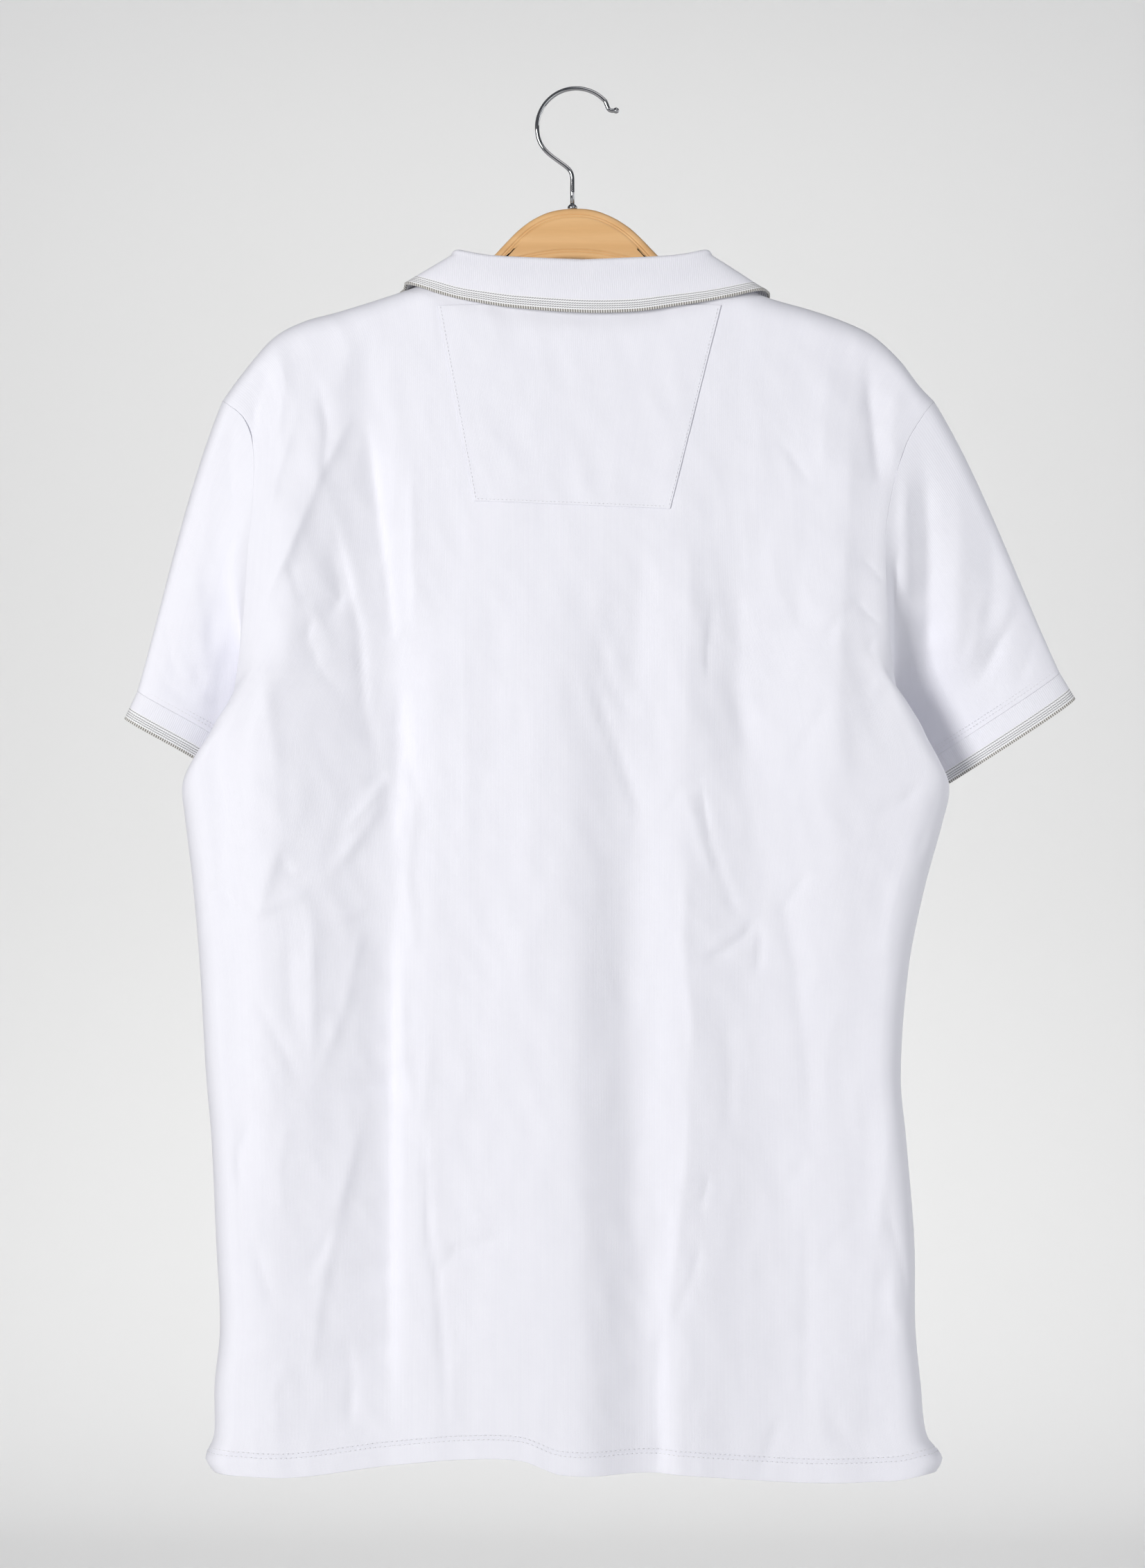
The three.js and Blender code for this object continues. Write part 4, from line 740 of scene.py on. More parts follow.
def panel_frame(panel, place, v):
    """A point on a panel and its outward direction."""
    kind, share = place
    here = panel_point(panel, place, v)
    step = 0.002 if share + 0.002 <= 1 else -0.002
    aside = (panel_point(panel, (kind, share + step), v) - here) / step
    if kind == "right":
        aside = -aside
    rise = 0.001 if v < 0.5 else -0.001
    up = (panel_point(panel, place, v + rise) - here) / rise
    normal = aside.cross(up).normalized()
    if panel == "front":
        normal = -normal
    return here, normal


def stitched(name, lines, material, pitch=STITCH_PITCH, length=STITCH_LENGTH, radius=THREAD_RADIUS):
    """Rows of stitches as one joined mesh. Each line is a list of (point, outward direction)."""
    bm = bmesh.new()
    for line in lines:
        travelled = [0.0]
        for (a, _), (b, _) in zip(line, line[1:]):
            travelled.append(travelled[-1] + (b - a).length)
        count = int(travelled[-1] / pitch)
        i = 0
        for s in range(count):
            at = (s + 0.5) * pitch
            while i < len(line) - 2 and travelled[i + 1] < at:
                i += 1
            span = max(travelled[i + 1] - travelled[i], 1e-6)
            t = (at - travelled[i]) / span
            spot = line[i][0].lerp(line[i + 1][0], t)
            out = line[i][1].lerp(line[i + 1][1], t).normalized()
            run = (line[i + 1][0] - line[i][0]).normalized()
            aside = out.cross(run).normalized()
            bead = bmesh.ops.create_icosphere(bm, subdivisions=1, radius=1.0)
            for v in bead["verts"]:
                shaped = run * (v.co.x * length / 2)
                shaped += aside * (v.co.y * radius) + out * (v.co.z * radius)
                v.co = (spot + out * (radius * BEAD_RISE) + shaped) * MM
    mesh = bpy.data.meshes.new(name)
    bm.to_mesh(mesh)
    bm.free()
    mesh.shade_smooth()
    piece = bpy.data.objects.new(name, mesh)
    bpy.context.scene.collection.objects.link(piece)
    piece.data.materials.append(material)
    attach(piece, "root")
    return piece


def thread(name, colour):
    shade = Shade(name)
    twist = shade.object_noise(2600, 2)
    bump = shade.add("ShaderNodeBump", {"Strength": 0.5, "Distance": 0.0001, "Height": twist})
    shade.set(shade.surface.inputs["Normal"], bump.outputs[0])
    darker = tuple(c * 0.86 for c in colour[:3]) + (1,)
    shade.set(shade.surface.inputs["Base Color"], shade.mix(twist, colour, darker))
    shade.surface.inputs["Roughness"].default_value = 0.55
    shade.surface.inputs["Sheen Weight"].default_value = 0.3
    return shade.material


white_thread = thread("white_thread", (0.84, 0.84, 0.88, 1))

hem_lines = []
for panel in ("back", "front"):
    for height in HEM_STITCH_HEIGHTS:
        line = []
        for place in panel_places(30, 40, 30):
            x = across_panel(panel, place, 0)[0]
            v = height / (top_z(panel, x) - hem_line[panel](x))
            line.append(panel_frame(panel, place, v))
        hem_lines.append(line)
stitched("hem_stitches", hem_lines, white_thread)

# Back patch
# A trapezoid of the same knit lies on the upper back under the collar.
# It is sewn down along its two sides and its lower edge.
PATCH_TOP_Z, PATCH_LOWER_Z = -141, -270.5
PATCH_TOP_X = (-88, 95)
PATCH_LOWER_X = (-64, 62)
PATCH_LOWER_SLOPE = 5
PATCH_WALL = 0.4


def on_panel(panel, x, z, out):
    """A point on the middle of a panel, moved out by a distance, and its outward direction."""
    hem = hem_line[panel](x)
    v = (z - hem) / (top_z(panel, x) - hem)
    share = neck_share(x)
    if abs(share) > 1:
        side = "left" if share < 0 else "right"
        low, high = 0.0, 1.0
        for _ in range(22):
            middle = (low + high) / 2
            far = abs(across_panel(panel, (side, middle), v)[0] - MIDDLE_X) > abs(x - MIDDLE_X)
            low, high = (middle, high) if far else (low, middle)
        place = (side, low)
    else:
        place = ("neck", clamp(share, -0.9999, 0.9999))
    spot, normal = panel_frame(panel, place, min(v, 0.9999))
    return spot + normal * out, normal


def patch_spot(share, way, out):
    left = lerp(PATCH_LOWER_X[0], PATCH_TOP_X[0], way)
    right = lerp(PATCH_LOWER_X[1], PATCH_TOP_X[1], way)
    lower = PATCH_LOWER_Z + PATCH_LOWER_SLOPE * (0.5 - share)
    return on_panel("back", lerp(left, right, share), lerp(lower, PATCH_TOP_Z, way), out)


def patch_share(i, count):
    """Even steps, with one narrow step along each edge."""
    edges = {0: 0, 1: 0.003, count - 2: 0.997, count - 1: 1}
    return edges[i] if i in edges else (i - 1) / (count - 3)


PATCH_COLUMNS, PATCH_ROWS = 62, 46
patch = cloth_grid(
    "back_patch_cloth",
    lambda c, r: patch_spot(
        patch_share(c, PATCH_COLUMNS), patch_share(r, PATCH_ROWS), SEAM + PATCH_WALL
    )[0],
    PATCH_COLUMNS,
    PATCH_ROWS,
    facing=Vector((0, -1, 0)),
)
patch.data.materials.append(white_knit)
give_wall(patch, PATCH_WALL)
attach(patch, "root")
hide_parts("back_patch")

TOPSTITCH_IN = 1.5
edge_in = TOPSTITCH_IN / 160
way_in = TOPSTITCH_IN / 130
out = SEAM + PATCH_WALL
patch_lines = [
    [patch_spot(edge_in, lerp(1, way_in, i / 30), out) for i in range(31)],
    [patch_spot(lerp(edge_in, 1 - edge_in, i / 40), way_in, out) for i in range(41)],
    [patch_spot(1 - edge_in, lerp(way_in, 1, i / 30), out) for i in range(31)],
]
stitched("patch_stitches", patch_lines, white_thread, pitch=2.6, length=1.7, radius=0.28)

# Placket and buttons
# Two strips of the same knit close the slit, one over and one under it.
# Three small four-hole buttons are sewn on, and each buttonhole is edged with close thread.
PLACKET_HALF_WIDTH = 17
PLACKET_WALL = 1.0
PLACKET_TOP_Z = {"placket_top": -206, "placket_under": -211}
PLACKET_OUT = {"placket_top": 2 * SEAM + PLACKET_WALL, "placket_under": -(JERSEY + SEAM)}
BUTTON_Z = (-222, -272, -322)

for name, out in PLACKET_OUT.items():
    low = PLACKET_LOWER_Z - SLIT_HALF_WIDTH

    def strip_spot(c, r):
        x = MIDDLE_X + lerp(-PLACKET_HALF_WIDTH, PLACKET_HALF_WIDTH, c / 14)
        return on_panel("front", x, lerp(low, PLACKET_TOP_Z[name], r / 60), out)[0]

    strip = cloth_grid(f"{name}_cloth", strip_spot, 15, 61, facing=Vector((0, 1, 0)))
    strip.data.materials.append(white_knit)
    give_wall(strip, PLACKET_WALL)
    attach(strip, "root")
    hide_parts(name)

PLACKET_STITCH_X = (MIDDLE_X - PLACKET_HALF_WIDTH + 2.2, MIDDLE_X + PLACKET_HALF_WIDTH - 2.2)
PLACKET_STITCH_TOP_Z, PLACKET_BOX_TOP_Z, PLACKET_BOX_FOOT_Z = -210, -350, -373


def on_placket(x, z, above=0.0):
    return on_panel("front", x, z, PLACKET_OUT["placket_top"] + above)


placket_lines = []
for x in PLACKET_STITCH_X:
    heights = [lerp(PLACKET_STITCH_TOP_Z, PLACKET_BOX_FOOT_Z, i / 40) for i in range(41)]
    placket_lines.append([on_placket(x, z) for z in heights])
for z in (PLACKET_BOX_TOP_Z, PLACKET_BOX_FOOT_Z):
    placket_lines.append([on_placket(lerp(*PLACKET_STITCH_X, i / 12), z) for i in range(13)])
stitched("placket_stitches", placket_lines, white_thread, pitch=2.9, length=2.2)

BUTTONHOLE_HALF_WIDTH, BUTTONHOLE_HALF_LENGTH, BUTTONHOLE_DROP = 1.3, 7.6, 1
buttonholes = []
for z in BUTTON_Z:
    ring = []
    for i in range(49):
        turn = 2 * math.pi * i / 48
        x = MIDDLE_X + BUTTONHOLE_HALF_WIDTH * math.cos(turn)
        ring.append(on_placket(x, z - BUTTONHOLE_DROP + BUTTONHOLE_HALF_LENGTH * math.sin(turn)))
    buttonholes.append(ring)
stitched("buttonhole_stitches", buttonholes, white_thread, pitch=0.6, length=0.62, radius=0.3)

button_shade = Shade("white_button")
cloud = button_shade.object_noise(160, 3)
clouded = button_shade.mix(cloud, (0.86, 0.85, 0.82, 1), (0.74, 0.73, 0.71, 1))
button_shade.set(button_shade.surface.inputs["Base Color"], clouded)
button_shade.surface.inputs["Roughness"].default_value = 0.22
button_shade.surface.inputs["Coat Weight"].default_value = 0.4
for number in (1, 2, 3):
    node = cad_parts[f"button_{number}"]
    node = node if isinstance(node, bpy.types.Object) else bpy.data.objects[f"button_{number}"]
    node.data.materials.clear()
    node.data.materials.append(button_shade.material)

BUTTON_FACE = 2 * SEAM + 1.75
BUTTON_HOLE_SPREAD = 1.5
button_threads = []
for z in BUTTON_Z:
    spot, normal = on_placket(MIDDLE_X, z, BUTTON_FACE)
    for side in (-BUTTON_HOLE_SPREAD, BUTTON_HOLE_SPREAD):
        ends = (Vector((side, 0, -2.0)), Vector((side, 0, 2.0)))
        button_threads.append([(spot + end, normal) for end in ends])
stitched("button_threads", button_threads, white_thread, pitch=3.4, length=3.6, radius=0.5)

# Sleeves
# Each short sleeve is a flat shape closed under the arm and set into the armhole.
# It hangs down and a little behind the body, flattened, towards its cuff.
CUFF_LENGTH = 20
CUFF_HALF_WIDTH = 70
CUFF_HALF_DEPTH = 20
CUFF_LEAN = 3.5
# outer corner, way the sleeve falls, way across the cuff, droop of the cuff's hidden end,
# and how late round the cuff it droops
SLEEVES = {
    "left": ((-292.5, 8, -408), (-0.27, 0, -0.963), (0.776, 0.456, -0.401), 40, 7),
    "right": ((326.5, 8, -395), (0.42, 0, -0.907), (-0.768, 0.42, -0.484), 4, 4),
}
SLEEVE_CREASES = {
    "left": [
        (((-226, -215), (-240, -290), (-258, -372)), 10, 12, 1.8),
        (((-232, -330), (-240, -372), (-252, -396)), 5, 6, -1.6),
        (((-268, -330), (-262, -366), (-256, -392)), 5, 6, -1.3),
        (((-246, -300), (-242, -350), (-238, -400)), 6, 6, 1.2),
        (((-222, -350), (-232, -390), (-240, -420)), 5, 6, -1.5),
        (((-276, -372), (-262, -388), (-250, -396)), 3, 4, -0.9),
        (((-216, -216), (-222, -240), (-220, -268)), 5, 5, -1.2),
    ],
    "right": [
        (((212, -236), (214, -290), (217, -345)), 7, 5, 2.6),
        (((224, -222), (230, -300), (232, -410)), 8, 8, -3.8),
        (((246, -232), (250, -300), (248, -395)), 12, 14, 3.2),
        (((268, -262), (272, -320), (266, -366)), 9, 8, -1.8),
        (((262, -326), (262, -352), (256, -378)), 3, 4, 1.2),
        (((296, -326), (280, -352), (262, -390)), 6, 5, -2.3),
        (((286, -296), (282, -336), (274, -362)), 7, 7, 1.9),
        (((302, -350), (296, -368), (288, -386)), 3, 4, -1.2),
        (((209, -292), (207, -330), (209, -384)), 3, 3, -2.2),
    ],
}
underarm_v = (UNDERARM_Z - HEM_Z) / (SHOULDER_POINT_Z - HEM_Z)
ARMHOLE_STEPS = 56


def armhole(side):
    """The armhole's points from the shoulder down the back, under the arm and up the front."""

    def edge(panel, v):
        spot = panel_point(panel, (side, 0), v, fine=False)
        inward = panel_point(panel, (side, 0.0238), v, fine=False)
        rise = 0.002 if v < 0.9 else -0.002
        up = (panel_point(panel, (side, 0), v + rise, fine=False) - spot) / rise
        away = (spot - inward).normalized()
        normal = away.cross(up).normalized() * (OUTWARD[side] * -FACING[panel])
        return [spot, normal, away]

    def seam(panel, v):
        spot, normal, away = edge(panel, v)
        return [spot + away * (0.3 * SEAM), normal, away]

    def meeting(v, shift):
        a, b = edge("back", v), edge("front", v)
        return [(a[0] + b[0]) / 2 + shift, (a[1] + b[1]).normalized(), (a[2] + b[2]).normalized()]

    levels = [
        lerp(underarm_v, 1, (1 - math.cos(math.pi * i / ARMHOLE_STEPS)) / 2)
        for i in range(1, ARMHOLE_STEPS)
    ]
    loop = [meeting(1, Vector((OUTWARD[side] * 0.3 * SEAM, 0, -0.3 * SEAM)))]
    loop += [seam("back", v) for v in reversed(levels)]
    loop += [meeting(underarm_v, Vector((0, SEAM, 4 * SEAM)))]
    loop += [seam("front", v) for v in levels]
    for i, (spot, normal, away) in enumerate(loop):
        seamway = loop[(i + 1) % len(loop)][0] - loop[i - 1][0]
        square = seamway.cross(normal).normalized()
        loop[i] = [spot, normal, square if square.dot(away) >= 0 else -square]
    return loop


def loop_turns(loop):
    half = len(loop) // 2
    lengths = [0.0]
    for i in range(1, len(loop) + 1):
        lengths.append(lengths[-1] + (loop[i % len(loop)][0] - loop[i - 1][0]).length)
    first = [math.pi * lengths[i] / lengths[half] for i in range(half + 1)]
    second = [
        math.pi + math.pi * (lengths[i] - lengths[half]) / (lengths[-1] - lengths[half])
        for i in range(half + 1, len(loop))
    ]
    return first + second


def cuff_ring(side):
    corner, fall, across, droop, late = SLEEVES[side]
    across = Vector(across).normalized()
    fall = Vector(fall).normalized()
    towards_back = fall.cross(across).normalized()
    if towards_back.y > 0:
        towards_back.negate()
    axis = across.cross(towards_back).normalized()
    if axis.z > 0:
        axis.negate()
    centre = Vector(corner) + across * CUFF_HALF_WIDTH

    def ring(turn, up):
        return (
            centre
            - across * (math.cos(turn) * CUFF_HALF_WIDTH)
            + towards_back * (math.sin(turn) * CUFF_HALF_DEPTH)
            + axis * (droop * abs(math.sin(turn / 2)) ** late + CUFF_LEAN * math.sin(turn) - up)
        )

    return ring, fall, axis


SLEEVE_ROWS = 64
sleeve_ways = [0, 0.003] + [i / (SLEEVE_ROWS - 3) for i in range(1, SLEEVE_ROWS - 3)] + [0.997, 1]
sleeve_tables = {side: crease_table(rows) for side, rows in SLEEVE_CREASES.items()}
sleeve_rings = {}
for side in ("left", "right"):
    loop = armhole(side)
    turns = loop_turns(loop)
    ring, fall, axis = cuff_ring(side)
    sleeve_rings[side] = (ring, turns)
    start = len(loop) // 2

    def sleeve_spot(c, r):
        i = (start + c) % len(loop)
        spot, _, away = loop[i]
        turn = turns[i]
        t = sleeve_ways[r]
        end = ring(turn, CUFF_LENGTH)
        pull = 0.3 * (end - spot).length
        low = math.sin(turn / 2) ** 4
        first = (fall * (1 - low) + away * 0.6 + Vector((0, 1, 0)) * (2.8 * low)).normalized()
        last = fall.lerp(axis, low).normalized()
        a, b, d = spot, spot + first * pull, end - last * pull
        s = 1 - t
        place = a * s**3 + b * (3 * s * s * t) + d * (3 * s * t * t) + end * t**3
        if 0 < turn < math.pi:
            lift = creases(sleeve_tables[side], place.x, place.z)
            lift += crumple(place.x, place.z, 11.0) * 0.8
            place.y -= lift * math.sin(turn) ** 0.5 * smooth(t / 0.1) * smooth((1 - t) / 0.06)
        return place

    sleeve = cloth_grid(
        f"sleeve_{side}_cloth", sleeve_spot, len(loop) + 1, len(sleeve_ways), closed=True
    )
    sleeve.data.materials.append(white_knit)
    give_wall(sleeve, JERSEY)
    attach(sleeve, "root")
    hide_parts(f"sleeve_{side}")

# Cuffs
# Each cuff is a band of rib knit, sewn to the sleeve's end with two rows of stitches.
# Four fine grey lines and a darker whipped edge are knitted in along its free edge.
RIB = 1.6
RIB_PITCH = 0.0013
TIP_PITCH = 0.0016
TIP_LINES = (0.0029, 0.0043, 0.0057, 0.0074)
TIP_EDGE = 0.0017
TIP_BAND = 0.0080


def rib_cloth(name):
    """Rib knit with the tipping worked out from the distance to the free edge, which is v."""
    shade = Shade(name)
    u, v, _ = shade.cloth_uv()
    rib = shade.wave(u, RIB_PITCH)
    fuzz = shade.object_noise(1500, 2)
    uneven = shade.object_noise(60, 3)
    zigzag = shade.math("PINGPONG", u, TIP_PITCH / 2)
    bent = shade.math("MULTIPLY_ADD", zigzag, -0.5, v)
    lines = None
    for at in TIP_LINES:
        away = shade.math("ABSOLUTE", shade.math("SUBTRACT", bent, at - 0.00016))
        line = shade.ramp(away, 0.00048, 0.00018, interpolation_type="SMOOTHSTEP")
        lines = line if lines is None else shade.math("MAXIMUM", lines, line)
    in_band = shade.ramp(v, TIP_BAND + 0.0006, TIP_BAND)
    at_edge = shade.ramp(v, TIP_EDGE + 0.0002, TIP_EDGE - 0.0001)
    ticks = shade.ramp(shade.wave(u, TIP_PITCH), 0.3, 0.7)
    base = shade.mix(uneven, (0.87, 0.87, 0.93, 1), (0.81, 0.81, 0.88, 1))
    band = shade.mix(in_band, base, (0.90, 0.90, 0.92, 1))
    dashes = shade.math("MULTIPLY_ADD", ticks, 0.3, 0.6)
    striped = shade.mix(shade.math("MULTIPLY", lines, dashes), band, (0.22, 0.22, 0.23, 1))
    edge = shade.mix(ticks, (0.72, 0.71, 0.69, 1), (0.22, 0.21, 0.19, 1))
    shade.set(shade.surface.inputs["Base Color"], shade.mix(at_edge, striped, edge))
    height = shade.math("MULTIPLY", rib, shade.math("SUBTRACT", 1.0, in_band))
    height = shade.math("MULTIPLY_ADD", lines, -0.5, height)
    height = shade.math("MULTIPLY_ADD", shade.math("MULTIPLY", ticks, at_edge), -0.8, height)
    height = shade.math("MULTIPLY_ADD", fuzz, 0.3, height)
    bump = shade.add("ShaderNodeBump", {"Strength": 0.55, "Distance": 0.0002, "Height": height})
    shade.set(shade.surface.inputs["Normal"], bump.outputs[0])
    shade.surface.inputs["Roughness"].default_value = 0.9
    shade.surface.inputs["Sheen Weight"].default_value = 0.25
    shade.surface.inputs["Sheen Roughness"].default_value = 0.5
    shade.surface.inputs["Specular IOR Level"].default_value = 0.2
    return shade.material


white_rib = rib_cloth("white_rib")
CUFF_ROWS = 15
cuff_ways = [0, 0.015] + [i / (CUFF_ROWS - 3) for i in range(1, CUFF_ROWS - 3)] + [0.985, 1]
for side in ("left", "right"):
    ring, turns = sleeve_rings[side]
    start = len(turns) // 2

    def cuff_spot(c, r):
        return ring(turns[(start + c) % len(turns)], (CUFF_LENGTH - 0.2 * SEAM) * cuff_ways[r])

    cuff = cloth_grid(f"cuff_{side}_cloth", cuff_spot, len(turns) + 1, len(cuff_ways), closed=True)
    cuff.data.materials.append(white_rib)
    give_wall(cuff, RIB)
    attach(cuff, "root")
    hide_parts(f"cuff_{side}")

    middle = ring(0, CUFF_LENGTH).lerp(ring(math.pi, CUFF_LENGTH), 0.5)
    lines = []
    for above in (3.2, 5.6):
        line = []
        for i in range(len(turns) + 1):
            turn = turns[i % len(turns)]
            spot = ring(turn, CUFF_LENGTH + above)
            nearby = ring(turn + 0.02, CUFF_LENGTH + above)
            up = ring(turn, CUFF_LENGTH + above + 1) - spot
            out = up.cross(nearby - spot).normalized()
            if out.dot(spot - middle) < 0:
                out = -out
            line.append((spot + out * 0.15, out))
        lines.append(line)
    stitched(f"cuff_{side}_stitches", lines, white_thread, pitch=2.5, length=1.8, radius=0.2)

# Collar
# The collar is one band of rib knit sewn inside the neckline. It stands, rolls over and
# comes down over the shoulders, with the same grey lines knitted in along its long edge.
STAND_INSET = 0.7
STAND_TUCK = (-1, 4)
COLLAR_GAP = 0.09
LEAF_CLEAR = {"back": RIB + 2.2, "front": RIB + 0.7}
LEAF_MIDDLE_X = 7
LEAF_BULGE = {"back": 1.5, "front": 5}
FOLD_RADIUS = 3.2
LEAF_EDGE_BACK = [
    (-110, -125.5), (-96, -130.5), (-80, -136), (-64, -139.5), (-40, -143.4), (5, -146.8),
    (40, -146), (64, -142.6), (88, -138.6), (104, -135), (124, -129.6),
]
LEAF_EDGE_BACK_DEPTH = 22.5
# way round the front, distance out from the middle, y, z
LEAF_EDGE_FRONT = [
    (0, 117, 0, -128), (0.15, 121, 14.5, -132.5), (0.4, 111, 21, -163), (0.7, 78, 24, -208),
    (1, 36, 26, -252),
]
# degrees round the neck from the middle of the back, z of the collar's fold
FOLD_LINE = [
    (0, -111.5), (45, -108.5), (75, -104.5), (90, -105.5), (120, -116), (150, -154), (180, -190),
]
STAND_STEPS, ROLL_STEPS, LEAF_STEPS = 5, 8, 22
COLLAR_ROWS = STAND_STEPS + ROLL_STEPS + LEAF_STEPS + 2


def collar_section(side, way, back_share):
    """One column of the collar, from its leaf's free edge over the fold to its stand's foot."""
    stand_in = JERSEY + STAND_INSET + RIB
    is_back = side is None
    panel = "back" if is_back else "front"
    facing = FACING[panel]
    if is_back:
        share = math.sin(math.pi / 2 * back_share)
    else:
        share = OUTWARD[side] * math.cos(math.pi / 2 * way)
    around = math.sqrt(max(0.0, 1 - share * share))
    degrees = math.degrees(math.asin(clamp(abs(share), 0, 1))) if is_back else 90 + 90 * way
    drop, depth, bend = NECK[panel]
    out = Vector((
        NECK_SQUARENESS * depth * share,
        facing * NECK_HALF_WIDTH * around ** (2 - NECK_SQUARENESS),
        0,
    )).normalized()
    neckline = Vector((MIDDLE_X + NECK_HALF_WIDTH * share, facing * neck_depth(panel, around), 0))
    stand = neckline - out * stand_in
    foot_z = NECK_POINT_Z - drop * around**bend - lerp(STAND_TUCK[0], STAND_TUCK[1], around)
    fold_z = along(FOLD_LINE, 1, degrees)
    if is_back:
        edge_x = lerp(LEAF_EDGE_BACK[0][0], LEAF_EDGE_BACK[-1][0], (share + 1) / 2)
        edge_z = along(LEAF_EDGE_BACK, 1, edge_x)
        edge = Vector((edge_x, -LEAF_EDGE_BACK_DEPTH * around**0.5, edge_z))
    else:
        end = way / (1 - COLLAR_GAP)
        edge = Vector((
            LEAF_MIDDLE_X + OUTWARD[side] * along(LEAF_EDGE_FRONT, 1, end),
            along(LEAF_EDGE_FRONT, 2, end),
            along(LEAF_EDGE_FRONT, 3, end),
        ))
    section = []
    leaf_ways = [0] + [i / LEAF_STEPS for i in range(1, LEAF_STEPS)] + [0.992, 1]
    for i in range(STAND_STEPS):
        section.append(stand + Vector((0, 0, lerp(foot_z, fold_z - FOLD_RADIUS, i / STAND_STEPS))))
    for i in range(ROLL_STEPS):
        turn = math.pi * i / ROLL_STEPS
        section.append(
            stand
            + out * (FOLD_RADIUS * (1 - math.cos(turn)))
            + Vector((0, 0, fold_z - FOLD_RADIUS + FOLD_RADIUS * math.sin(turn)))
        )
    roll_end = stand + out * (2 * FOLD_RADIUS) + Vector((0, 0, fold_z - FOLD_RADIUS))
    for t in leaf_ways:
        spot = roll_end.lerp(edge, t)
        bulge = LEAF_BULGE["back" if is_back else "front"]
        spot.y += facing * bulge * math.sin(math.pi * t) * around**0.5
        if spot.z < top_z(panel, spot.x):
            surface = panel_depth(panel, spot.x, spot.z, BODY_HALF_WIDTH, fine=False)
            spot.y = facing * max(facing * spot.y, surface + LEAF_CLEAR[panel])
        section.append(spot)
    return section[::-1]


COLLAR_FRONT_STEPS, COLLAR_BACK_STEPS = 44, 96
front_ways = [(1 - COLLAR_GAP) * i / COLLAR_FRONT_STEPS for i in range(1, COLLAR_FRONT_STEPS + 1)]
collar_columns = [("left", way, 0) for way in reversed(front_ways)]
collar_columns += [(None, 0, 2 * i / COLLAR_BACK_STEPS - 1) for i in range(COLLAR_BACK_STEPS + 1)]
collar_columns += [("right", way, 0) for way in front_ways]
collar_sections = [collar_section(*column) for column in collar_columns]
collar = cloth_grid(
    "collar_cloth",
    lambda c, r: collar_sections[c][r].copy(),
    len(collar_columns),
    COLLAR_ROWS,
    own=True,
)
collar_mesh = bmesh.new()
collar_mesh.from_mesh(collar.data)
collar_mesh.normal_update()
leaf_side = sum(
    f.normal.y for f in collar_mesh.faces
    if f.calc_center_median().y < -0.018 and abs(f.calc_center_median().x) < 0.06
)
if leaf_side > 0:
    bmesh.ops.reverse_faces(collar_mesh, faces=collar_mesh.faces)
collar_mesh.to_mesh(collar.data)
collar_mesh.free()
collar.data.materials.append(white_rib)
give_wall(collar, RIB)
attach(collar, "root")
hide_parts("collar")

# Hanger
# The hanger is one board of pale lacquered maple, cut to a smooth shape and rounded at its edges.
# A fine double line is routed just inside the edge on both faces.
WOOD_THICKNESS = 10
WOOD_EDGE = 3
WOOD_CLEARANCE = 1.1
WOOD_HEIGHT = 25
WOOD_LEFT, WOOD_RIGHT = -207, 212
WOOD_ARCH_Z = -109.5
TIP_ROUND = 22
WOOD_HUMP = [
    (-84, -128), (-73, -125), (-62, -117.6), (-52, -107.6), (-34, -89.4), (-18, -80), (-0.5, -77),
    (17, -79.2), (36, -89.4), (54.5, -107.6), (65, -117.6), (76, -125), (90, -129.4),
]


def wood_top(x):
    slope = shoulder_line(x + 1) - shoulder_line(x)
    return shoulder_line(x) - (JERSEY + WOOD_CLEARANCE) * math.hypot(1, slope)


def spline(points, steps):
    line = []
    last = len(points) - 1
    for i in range(last):
        p0, p1, p2, p3 = (Vector(points[clamp(n, 0, last)]) for n in (i - 1, i, i + 1, i + 2))
        for s in range(steps):
            t = s / steps
            line.append(
                0.5 * (2 * p1 + (p2 - p0) * t + (2 * p0 - 5 * p1 + 4 * p2 - p3) * t**2
                       + (3 * p1 - p0 - 3 * p2 + p3) * t**3)
            )
    line.append(Vector(points[-1]))
    return line


def bezier(a, b, c, d, steps):
    a, b, c, d = map(Vector, (a, b, c, d))
    line = []
    for i in range(1, steps + 1):
        t = i / steps
        s = 1 - t
        line.append(a * s**3 + b * (3 * s * s * t) + c * (3 * s * t * t) + d * t**3)
    return line


def arm(start, stop, count):
    xs = [lerp(start, stop, i / count) for i in range(count + 1)]
    return [(x, wood_top(x)) for x in xs]


left_end, right_end = WOOD_LEFT + TIP_ROUND, WOOD_RIGHT - TIP_ROUND
top_line = spline(arm(left_end, -98, 8) + WOOD_HUMP + arm(106, right_end, 8), 6)
left_low = (left_end, wood_top(left_end) - WOOD_HEIGHT)
right_low = (right_end, wood_top(right_end) - WOOD_HEIGHT)
left_nose = ((WOOD_LEFT - 2, left_low[1] - 3), (WOOD_LEFT, wood_top(WOOD_LEFT + 9)))
right_nose = ((WOOD_RIGHT, wood_top(WOOD_RIGHT - 9)), (WOOD_RIGHT + 2, right_low[1] - 3))
outline = list(top_line)
outline += bezier(top_line[-1], *right_nose, right_low, 14)
outline += bezier(right_low, (110, -158), (60, WOOD_ARCH_Z), (0, WOOD_ARCH_Z), 30)
outline += bezier((0, WOOD_ARCH_Z), (-60, WOOD_ARCH_Z), (-110, -158), left_low, 30)
outline += bezier(left_low, *left_nose, top_line[0], 14)[:-1]

WOOD_COLUMNS = 190
# distance in from the edge, distance out from the board's middle, across the two routed lines
ROUTED = [
    (3.8, 5), (3.95, 4.55), (4.25, 4.55), (4.4, 5),
    (5.4, 5), (5.52, 4.65), (5.78, 4.65), (5.9, 5), (7.2, 5),
]


